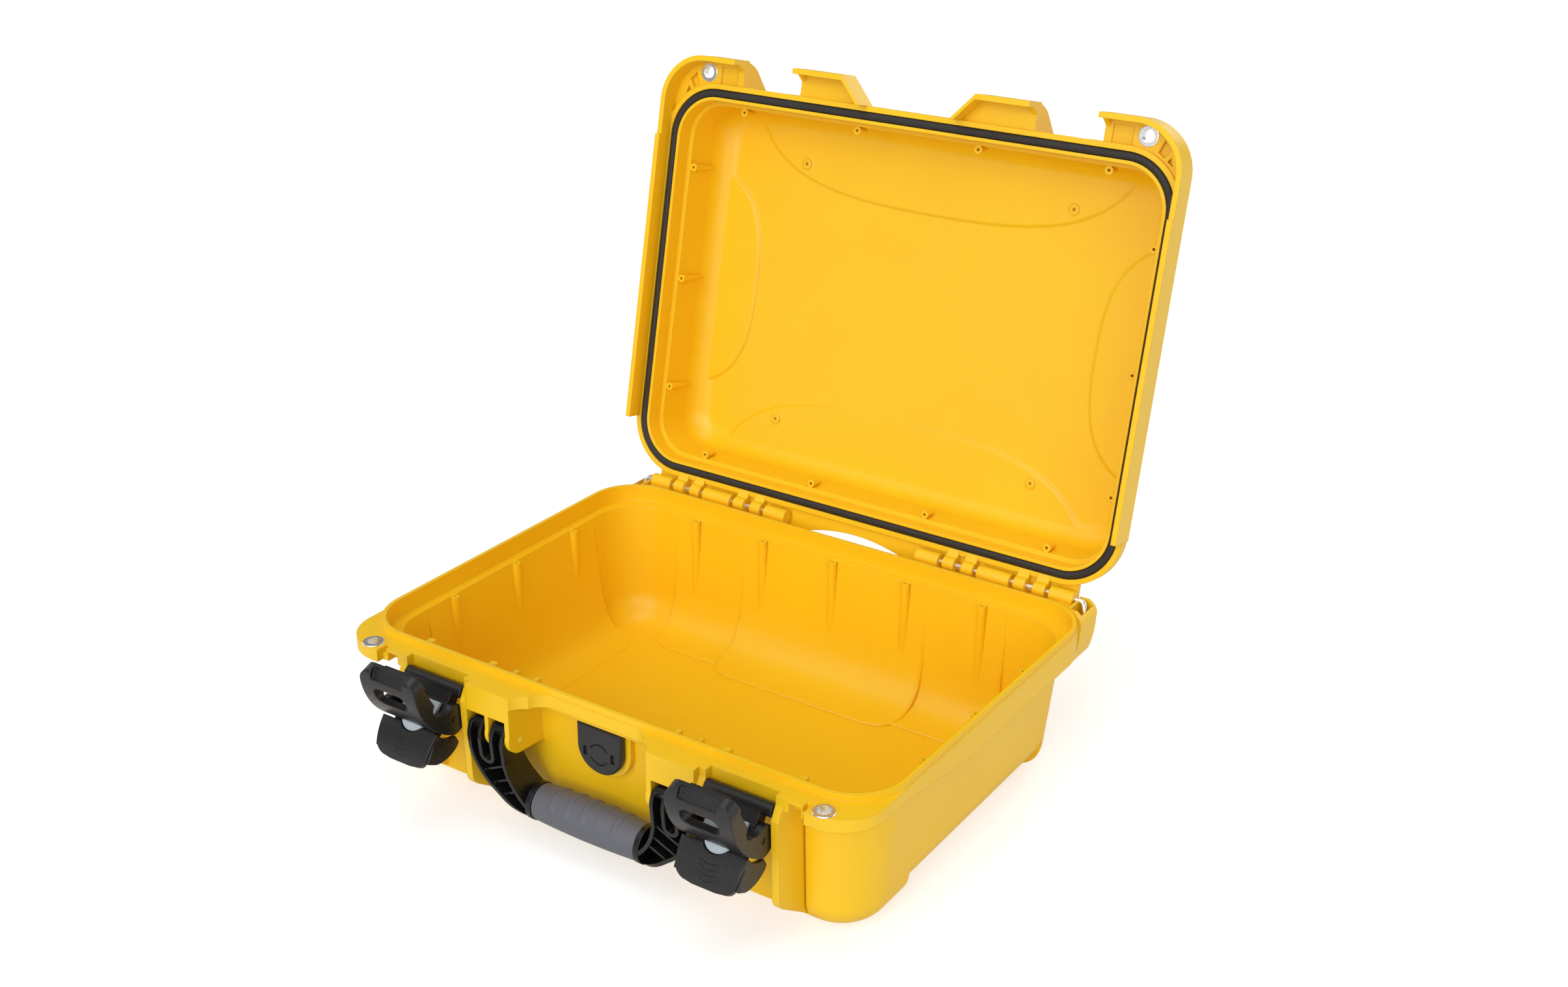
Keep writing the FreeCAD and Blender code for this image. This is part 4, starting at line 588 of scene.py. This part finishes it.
@dataclass
class SoftGrip:
    """Grey rubber sleeve on the handle, with raised finger ribs over its upper half."""

    finish: bpy.types.Material
    crown: float = 13.8 * MM
    end: float = 12.6 * MM
    bore: float = 8.05 * MM
    lip: float = 1.0 * MM
    ribs: int = 5
    rib_pitch: float = 12.8 * MM
    rib_half: float = 2.3 * MM
    rib_rise: float = 0.75 * MM
    rib_slope: float = 0.32
    rib_front: float = 19.0
    rib_back: float = 156.0
    rib_tip: float = 10.0
    end_crowding: float = 0.12
    steps_long: int = 300
    steps_round: int = 160

    def rib(self, x: float, turn: float) -> float:
        """Rise of the finger ribs at a place on the sleeve.

        Args:
            x: Distance from the sleeve's middle.
            turn: Degrees round the sleeve from the front, up positive.

        Returns:
            Rise in metres.
        """
        last = (self.ribs - 1) / 2
        index = min(max(round(x / self.rib_pitch), -last), last)
        across = (x - index * self.rib_pitch) / self.rib_half
        past = max(self.rib_front - turn, turn - self.rib_back, 0.0) / self.rib_tip
        edge = min(max((1.0 - math.hypot(across, past)) / self.rib_slope, 0.0), 1.0)
        return self.rib_rise * edge * edge * (3 - 2 * edge)

    def radius(self, x: float, half: float) -> float:
        """Crowned outline with rolled ends.

        Args:
            x: Distance from the sleeve's middle.
            half: Half of the sleeve's length.

        Returns:
            Radius in metres.
        """
        plain = self.end + (self.crown - self.end) * (1 - (x / half) ** 2)
        near = half - abs(x)
        if near < self.lip:
            plain -= self.lip - math.sqrt(max(self.lip ** 2 - (self.lip - near) ** 2, 0.0))
        return plain

    def stations(self, half: float) -> list[float]:
        """Places along the sleeve, a little closer together at its ends.

        Args:
            half: Half of the sleeve's length.

        Returns:
            Distances from the sleeve's middle.
        """
        shares = [2 * i / self.steps_long - 1 for i in range(self.steps_long + 1)]
        return [half * math.sin(math.pi / 2 * share) * self.end_crowding
                + half * share * (1 - self.end_crowding) for share in shares]

    def build(self) -> bpy.types.Object:
        """Makes the sleeve in the place of its CAD node.

        Returns:
            The piece, riding on the handle.
        """
        low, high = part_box("handle_grip")
        middle = (low + high) / 2
        half = (high.x - low.x) / 2
        marks = self.stations(half)
        rings = [(marks[0], self.bore)] + [(x, None) for x in marks] + [(marks[-1], self.bore)]
        verts = []
        for x, fixed in rings:
            for j in range(self.steps_round):
                turn = 360.0 * j / self.steps_round - 180.0
                r = fixed if fixed else self.radius(x, half) + self.rib(x, turn)
                angle = math.radians(turn)
                verts.append(middle + Vector((x, -r * math.cos(angle), r * math.sin(angle))))
        n = self.steps_round
        count = len(rings)
        faces = []
        for i in range(count):
            k = (i + 1) % count
            for j in range(n):
                m = (j + 1) % n
                faces.append((i * n + j, i * n + m, k * n + m, k * n + j))
        mesh = bpy.data.meshes.new("grip_sleeve")
        mesh.from_pydata(verts, [], faces)
        piece = finished("grip_sleeve", mesh, self.finish)
        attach(piece, "handle")
        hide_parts("handle_grip")
        LOG.info("grip_sleeve: %d faces", len(piece.data.polygons))
        return piece


class NodeShape:
    """A geometry node tree that ends in real mesh with one material."""

    def __init__(self, name: str, finish: bpy.types.Material, sizes: dict[str, float],
                 path: bpy.types.Mesh | None = None) -> None:
        """Starts the tree with named inputs.

        Args:
            name: Name of the tree.
            finish: Material that it sets.
            sizes: Inputs and their values, metres or counts.
            path: Edges that the shape follows, where it follows any.
        """
        self.name = name
        self.finish = finish
        self.sizes = sizes
        self.path = path
        self.tree = bpy.data.node_groups.new(name, "GeometryNodeTree")
        sockets = self.tree.interface
        sockets.new_socket("Geometry", in_out="OUTPUT", socket_type="NodeSocketGeometry")
        if path:
            sockets.new_socket("Path", in_out="INPUT", socket_type="NodeSocketGeometry")
        self.keys: dict[str, str] = {}
        for label, value in sizes.items():
            kind = "NodeSocketInt" if isinstance(value, int) else "NodeSocketFloat"
            self.keys[label] = sockets.new_socket(label, in_out="INPUT", socket_type=kind).identifier
        self.wire = Wiring(self.tree)
        self.source = self.wire.add("NodeGroupInput")
        self.sink = self.wire.add("NodeGroupOutput")

    def size(self, label: str) -> bpy.types.NodeSocket:
        """Socket of a named input."""
        return self.source.outputs[label]

    def tube(self, run: bpy.types.NodeSocket, label: str, steps: int,
             capped: bool) -> bpy.types.NodeSocket:
        """Sweeps a round section along a curve.

        Args:
            run: The curve.
            label: Input that gives the section's radius.
            steps: Points round the section.
            capped: Whether its ends are closed.

        Returns:
            The swept mesh.
        """
        section = self.wire.add("GeometryNodeCurvePrimitiveCircle", {
            "Resolution": steps, "Radius": self.size(label)})
        sweep = self.wire.add("GeometryNodeCurveToMesh", {
            "Curve": run, "Profile Curve": section.outputs["Curve"], "Fill Caps": capped})
        return sweep.outputs["Mesh"]

    def mesh(self, shape: bpy.types.NodeSocket) -> bpy.types.Mesh:
        """Ends the tree, runs it and keeps its result as a plain mesh.

        Args:
            shape: Geometry to put out.

        Returns:
            The mesh.
        """
        real = self.wire.add("GeometryNodeRealizeInstances", {"Geometry": shape})
        paint = self.wire.add("GeometryNodeSetMaterial", {
            "Geometry": real.outputs["Geometry"], "Material": self.finish})
        self.wire.fill(self.sink, {"Geometry": paint.outputs["Geometry"]})
        label = self.name + "_carrier"
        carrier = add_object(label, self.path or bpy.data.meshes.new(label))
        modifier = carrier.modifiers.new(self.name, "NODES")
        modifier.node_group = self.tree
        for name, value in self.sizes.items():
            modifier[self.keys[name]] = value
        bpy.context.view_layer.update()
        graph = bpy.context.evaluated_depsgraph_get()
        mesh = bpy.data.meshes.new_from_object(carrier.evaluated_get(graph))
        carrier.modifiers.remove(modifier)
        bpy.data.objects.remove(carrier)
        return mesh


@dataclass
class SealCord:
    """Soft cord in the lid's groove that follows the ring of the rim."""

    finish: bpy.types.Material
    joint: dict
    width: float = 408.0 * MM
    depth: float = 294.0 * MM
    corner: float = 36.0 * MM
    cord_half: float = 3.0 * MM
    cord_rise: float = 2.9 * MM
    middle: float = 115.7 * MM
    corner_steps: int = 24
    section_steps: int = 20

    def build(self) -> bpy.types.Object:
        """Makes the cord in the open lid.

        Returns:
            The piece, riding on the lid.
        """
        shape = NodeShape("seal_run", self.finish, {
            "Width": self.width, "Depth": self.depth, "Corner": self.corner, "Cord": self.cord_half})
        run = shape.wire.add("GeometryNodeCurvePrimitiveQuadrilateral", {
            "Width": shape.size("Width"), "Height": shape.size("Depth")}, mode="RECTANGLE")
        bend = shape.wire.add("GeometryNodeFilletCurve", {
            "Curve": run.outputs["Curve"], "Count": self.corner_steps, "Radius": shape.size("Corner"),
        }, mode="POLY")
        mesh = shape.mesh(shape.tube(bend.outputs["Curve"], "Cord", self.section_steps, False))
        pivot = Vector(self.joint["pos_m"])
        turn = Matrix.Rotation(-math.radians(self.joint["range_deg"][1]), 4, "X")
        flatten = self.cord_rise / self.cord_half

        def place(point: Vector) -> Vector:
            """Closed place of a point, then its place in the open lid."""
            shut = Vector((point.x, point.y, self.middle + point.z * flatten))
            return pivot + turn @ (shut - pivot)

        piece = finished("seal_cord", mesh, self.finish, place)
        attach(piece, "lid")
        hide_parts("lid_seal")
        LOG.info("seal_cord: %d faces", len(piece.data.polygons))
        return piece


@dataclass(frozen=True)
class Cove:
    """Sizes of one cove between the back wall and the floor, millimetres."""

    half: float
    reach: float
    rise: float


@dataclass
class CoveRims:
    """Rounded rims along the edges of the coves inside the back wall, in millimetres and degrees."""

    finish: bpy.types.Material
    long_cove: Cove = Cove(half=80.0, reach=49.0, rise=40.0)
    low_cove: Cove = Cove(half=143.5, reach=38.5, rise=30.0)
    corner: float = 20.0
    wall_at_ledge: float = 137.8
    ledge: float = 99.3
    draft: float = 3.0
    floor: float = 5.5
    foot_edge: float = 1.1
    foot_pull: float = 0.72
    foot_lift: float = 1.5
    step: float = 2.0
    wall_pull: float = 0.16
    bead: float = 1.5
    sink: float = 0.95
    top: float = 88.0
    along: int = 40
    upward: int = 12
    section_steps: int = 16

    def wall(self, up: float) -> float:
        """Inner face of the back wall at a height."""
        return self.wall_at_ledge - (self.ledge - up) * math.tan(math.radians(self.draft))

    def end_line(self, cove: Cove) -> list[Vector]:
        """Middle line of a rim from the cove's foot up its right end to the wall.

        Args:
            cove: Sizes of the cove.

        Returns:
            Points in millimetres.
        """
        foot = self.wall(self.floor) - cove.reach
        high = self.floor + cove.rise
        poles = (
            Vector((foot, self.floor + self.foot_edge)),
            Vector((foot + cove.reach * self.foot_pull, self.floor + self.foot_lift * self.foot_edge)),
            Vector((self.wall(self.floor) - 2 * self.step, self.floor + cove.rise * self.wall_pull)),
            Vector((self.wall(high) - self.step, high)),
        )
        none = Vector((0.0, 0.0))
        line = []
        for i in range(self.along + 1):
            t = i / self.along
            shares = ((1 - t) ** 3, 3 * t * (1 - t) ** 2, 3 * t * t * (1 - t), t ** 3)
            slopes = ((1 - t) ** 2, 2 * t * (1 - t), t * t)
            spot = sum((pole * share for pole, share in zip(poles, shares)), none)
            way = sum(((b - a) * k for a, b, k in zip(poles, poles[1:], slopes)), none).normalized()
            back = min(max(foot + self.corner - spot.x, 0.0), self.corner)
            out = cove.half - self.corner + math.sqrt(self.corner ** 2 - back ** 2)
            line.append(Vector((out, spot.x + way.y * self.sink, spot.y - way.x * self.sink)))
        for i in range(1, self.upward + 1):
            share = i / self.upward
            up = high + (self.top - high) * share
            stand = self.step * (self.ledge - up) / (self.ledge - high)
            deep = self.sink + (self.bead - self.sink) * share
            line.append(Vector((cove.half, self.wall(up) - stand + deep, up)))
        return line

    def path(self) -> bpy.types.Mesh:
        """Edges of all rims.

        Returns:
            A mesh of open lines: the long cove's, then the right and left low ones.
        """
        right = self.end_line(self.long_cove)
        low = self.end_line(self.low_cove)
        low.insert(0, Vector((self.long_cove.half - self.bead, low[0].y, low[0].z)))
        left, low_left = ([Vector((-v.x, v.y, v.z)) for v in line] for line in (right, low))
        verts: list[Vector] = []
        edges: list[tuple[int, int]] = []
        for line in (left[::-1] + right, low, low_left):
            first = len(verts)
            verts += [v * MM for v in line]
            edges += [(i, i + 1) for i in range(first, len(verts) - 1)]
        mesh = bpy.data.meshes.new("cove_lines")
        mesh.from_pydata(verts, edges, [])
        return mesh

    def build(self) -> bpy.types.Object:
        """Makes the rims in the base.

        Returns:
            The piece, riding on the base.
        """
        shape = NodeShape("rim_run", self.finish, {"Bead": self.bead * MM}, self.path())
        run = shape.wire.add("GeometryNodeMeshToCurve", {"Mesh": shape.size("Path")})
        mesh = shape.mesh(shape.tube(run.outputs["Curve"], "Bead", self.section_steps, True))
        piece = finished("cove_rims", mesh, self.finish)
        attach(piece, "base")
        LOG.info("cove_rims: %d faces", len(piece.data.polygons))
        return piece


@dataclass
class ThumbRidges:
    """Row of bowed ridges on a latch lever's thumb flap."""

    finish: bpy.types.Material
    joint: dict
    side: Side
    count: int = 4
    pitch: float = 3.4 * MM
    width: float = 13.8 * MM
    bow: float = 1.6 * MM
    bow_pull: float = 2.0
    bead: float = 0.55 * MM
    sink: float = 0.15 * MM
    first: float = -41.5 * MM
    lean: float = 42.0
    flap: tuple[tuple[float, float], ...] = ((6.5, -32.0), (5.8, -45.0), (0.5, -57.0))
    arc_steps: int = 20
    section_steps: int = 10

    def flap_out(self, up: float) -> float:
        """Distance of the flap's front face from the pivot, on the circle through the flap's points.

        Args:
            up: Height from the pivot, lever upright.

        Returns:
            Distance to the front.
        """
        (ax, ay), (bx, by), (cx, cy) = self.flap
        double = 2 * (ax * (by - cy) + bx * (cy - ay) + cx * (ay - by))
        a2, b2, c2 = ax * ax + ay * ay, bx * bx + by * by, cx * cx + cy * cy
        mid_out = (a2 * (by - cy) + b2 * (cy - ay) + c2 * (ay - by)) / double
        mid_up = (a2 * (cx - bx) + b2 * (ax - cx) + c2 * (bx - ax)) / double
        r = math.hypot(ax - mid_out, ay - mid_up)
        return (mid_out + math.sqrt(max(r * r - (up / MM - mid_up) ** 2, 0.0))) * MM

    def row(self) -> bpy.types.Mesh:
        """Ridges one under another, before they are laid on the flap.

        Returns:
            The mesh.
        """
        shape = NodeShape("ridge_row_" + self.side.value, self.finish, {
            "Count": self.count, "Pitch": self.pitch, "Width": self.width, "Bow": self.bow,
            "Bead": self.bead,
        })
        wire = shape.wire

        def point(axis: str, size: bpy.types.NodeSocket, share: float) -> bpy.types.NodeSocket:
            """A vector along one axis, a share of a size long."""
            return wire.add("ShaderNodeCombineXYZ", {axis: wire.math("MULTIPLY", size, share)}).outputs[0]

        arc = wire.add("GeometryNodeCurveQuadraticBezier", {
            "Resolution": self.arc_steps,
            "Start": point("X", shape.size("Width"), -0.5),
            "Middle": point("Z", shape.size("Bow"), -self.bow_pull),
            "End": point("X", shape.size("Width"), 0.5),
        })
        bead = shape.tube(arc.outputs["Curve"], "Bead", self.section_steps, True)
        places = wire.add("GeometryNodeMeshLine", {
            "Count": shape.size("Count"), "Offset": point("Z", shape.size("Pitch"), -1.0),
        }, mode="OFFSET")
        many = wire.add("GeometryNodeInstanceOnPoints", {
            "Points": places.outputs["Mesh"], "Instance": bead})
        return shape.mesh(many.outputs["Instances"])

    def build(self) -> bpy.types.Object:
        """Makes the ridges on one lever.

        Returns:
            The piece, riding on the lever.
        """
        pivot = Vector(self.joint["pos_m"])
        turn = Matrix.Rotation(-math.radians(self.lean), 4, "X")

        def place(point: Vector) -> Vector:
            """Lays a point of the row on the flap's bowed face."""
            up = self.first + point.z
            out = self.flap_out(up) - point.y - self.sink
            return pivot + turn @ Vector((point.x, -out, up))

        piece = finished("thumb_ridges_" + self.side.value, self.row(), self.finish, place)
        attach(piece, "lever_" + self.side.value)
        LOG.info("%s: %d faces", piece.name, len(piece.data.polygons))
        return piece


@dataclass(frozen=True)
class SoftLamp:
    """One wide soft lamp far outside the picture, its angles in degrees."""

    name: str
    turn: float
    rise: float
    power: float
    spread: float = 38.0

    def hang(self) -> None:
        """Adds the lamp, which shines towards the case from a turn round it and a rise above the floor."""
        data = bpy.data.lights.new(self.name, "SUN")
        data.angle = math.radians(self.spread)
        data.energy = self.power
        turn, rise = math.radians(self.turn), math.radians(self.rise)
        out = Vector((math.sin(turn) * math.cos(rise), -math.cos(turn) * math.cos(rise), math.sin(rise)))
        add_object(self.name, data).rotation_euler = (-out).to_track_quat("-Z", "Y").to_euler()


@dataclass
class Studio:
    """Pale floor, soft light and the camera."""

    camera_at: tuple[float, float, float] = (0.65585, -0.94462, 0.71680)
    camera_to: tuple[float, float, float] = (-0.0474, 0.1043, 0.1493)
    roll: float = 0.44
    focal_pixels: float = 2890.56
    shift: tuple[float, float] = (0.0171, 0.0039)
    far: float = 50.0
    sky: float = 0.23
    floor_size: float = 14.0
    floor_colour: Colour = (0.66, 0.66, 0.66)
    floor_specular: float = 0.15
    floor_glow: float = 0.13
    floor_lift: float = 0.42
    cloud_scale: float = 3.0
    cloud_range: tuple[float, float] = (0.2, 0.8)
    floor_roughness: tuple[float, float] = (0.6, 0.7)
    lamps: tuple[SoftLamp, ...] = (
        SoftLamp("front_lamp", 0.0, 22.0, 1.12),
        SoftLamp("front_right_lamp", 45.0, 22.0, 0.72),
        SoftLamp("back_right_lamp", 135.0, 22.0, 0.72),
        SoftLamp("back_lamp", 185.0, 24.0, 0.48),
        SoftLamp("left_lamp", 270.0, 22.0, 0.42),
        SoftLamp("front_high_lamp", 0.0, 52.0, 0.42),
        SoftLamp("left_high_lamp", 300.0, 52.0, 0.15),
        SoftLamp("overhead_lamp", 0.0, 88.0, 0.64),
    )

    def room(self) -> bpy.types.World:
        """Even pale room round the case, white to the camera.

        Returns:
            The world.
        """
        world = bpy.data.worlds.new("studio")
        world.use_nodes = True
        wire = Wiring(world.node_tree)
        wire.fill(world.node_tree.nodes["Background"], {
            "Color": WHITE, "Strength": wire.seen(self.sky, 1.0 - self.sky)})
        return world

    def camera(self) -> None:
        """Places the camera at the photograph's angle."""
        data = bpy.data.cameras.new("camera")
        data.sensor_width = SENSOR_WIDTH
        data.lens = self.focal_pixels / PHOTO_WIDTH * SENSOR_WIDTH
        data.shift_x, data.shift_y = self.shift
        data.clip_end = self.far
        eye = add_object("camera", data)
        eye.location = self.camera_at
        heading = (Vector(self.camera_to) - Vector(self.camera_at)).to_track_quat("-Z", "Y")
        eye.rotation_mode = "QUATERNION"
        eye.rotation_quaternion = heading @ Quaternion((0, 0, 1), math.radians(self.roll))
        bpy.context.scene.camera = eye

    def floor(self) -> None:
        """Lays the pale floor under the case."""
        material, wire, shader = blank("pale_floor")
        cloud = wire.add("ShaderNodeTexNoise", {"Vector": wire.place(), "Scale": self.cloud_scale})
        wire.fill(shader, {
            "Base Color": (*self.floor_colour, 1.0),
            "Roughness": wire.ramp(cloud.outputs["Fac"], *self.cloud_range, *self.floor_roughness),
            "Specular IOR Level": self.floor_specular,
            "Emission Color": WHITE,
            "Emission Strength": wire.seen(self.floor_glow, self.floor_lift),
        })
        half = self.floor_size / 2
        corners = [(-half, -half, 0), (half, -half, 0), (half, half, 0), (-half, half, 0)]
        mesh = bpy.data.meshes.new("floor")
        mesh.from_pydata(corners, [], [(0, 1, 2, 3)])
        mesh.materials.append(material)
        floor = add_object("floor", mesh)

    def build(self) -> None:
        """Sets up room, camera, floor and lamps."""
        scene = bpy.context.scene
        scene.view_settings.view_transform = "Standard"
        scene.world = self.room()
        self.camera()
        self.floor()
        for lamp in self.lamps:
            lamp.hang()


class HardCase:
    """The whole case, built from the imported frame."""

    def __init__(self, packed: dict) -> None:
        """Keeps the frame's nodes and joints and makes the finishes.
        """
        self.nodes = packed["nodes"]
        self.joints = {joint["name"]: joint for joint in packed["joints"]}
        self.finishes = Finishes()

    def build(self) -> None:
        """Dresses the CAD nodes and adds the pieces made here."""
        CadDresser(self.nodes, self.finishes).dress()
        SoftGrip(self.finishes.grip).build()
        SealCord(self.finishes.seal, self.joints["lid_hinge"]).build()
        CoveRims(self.finishes.base).build()
        for side in Side:
            ThumbRidges(self.finishes.latch, self.joints["lever_" + side.value], side).build()


def main() -> None:
    """Builds the case and its studio."""
    logging.basicConfig(level=logging.INFO, format="%(name)s: %(message)s")
    HardCase(frame).build()
    Studio().build()


if __name__ == "__main__":
    main()
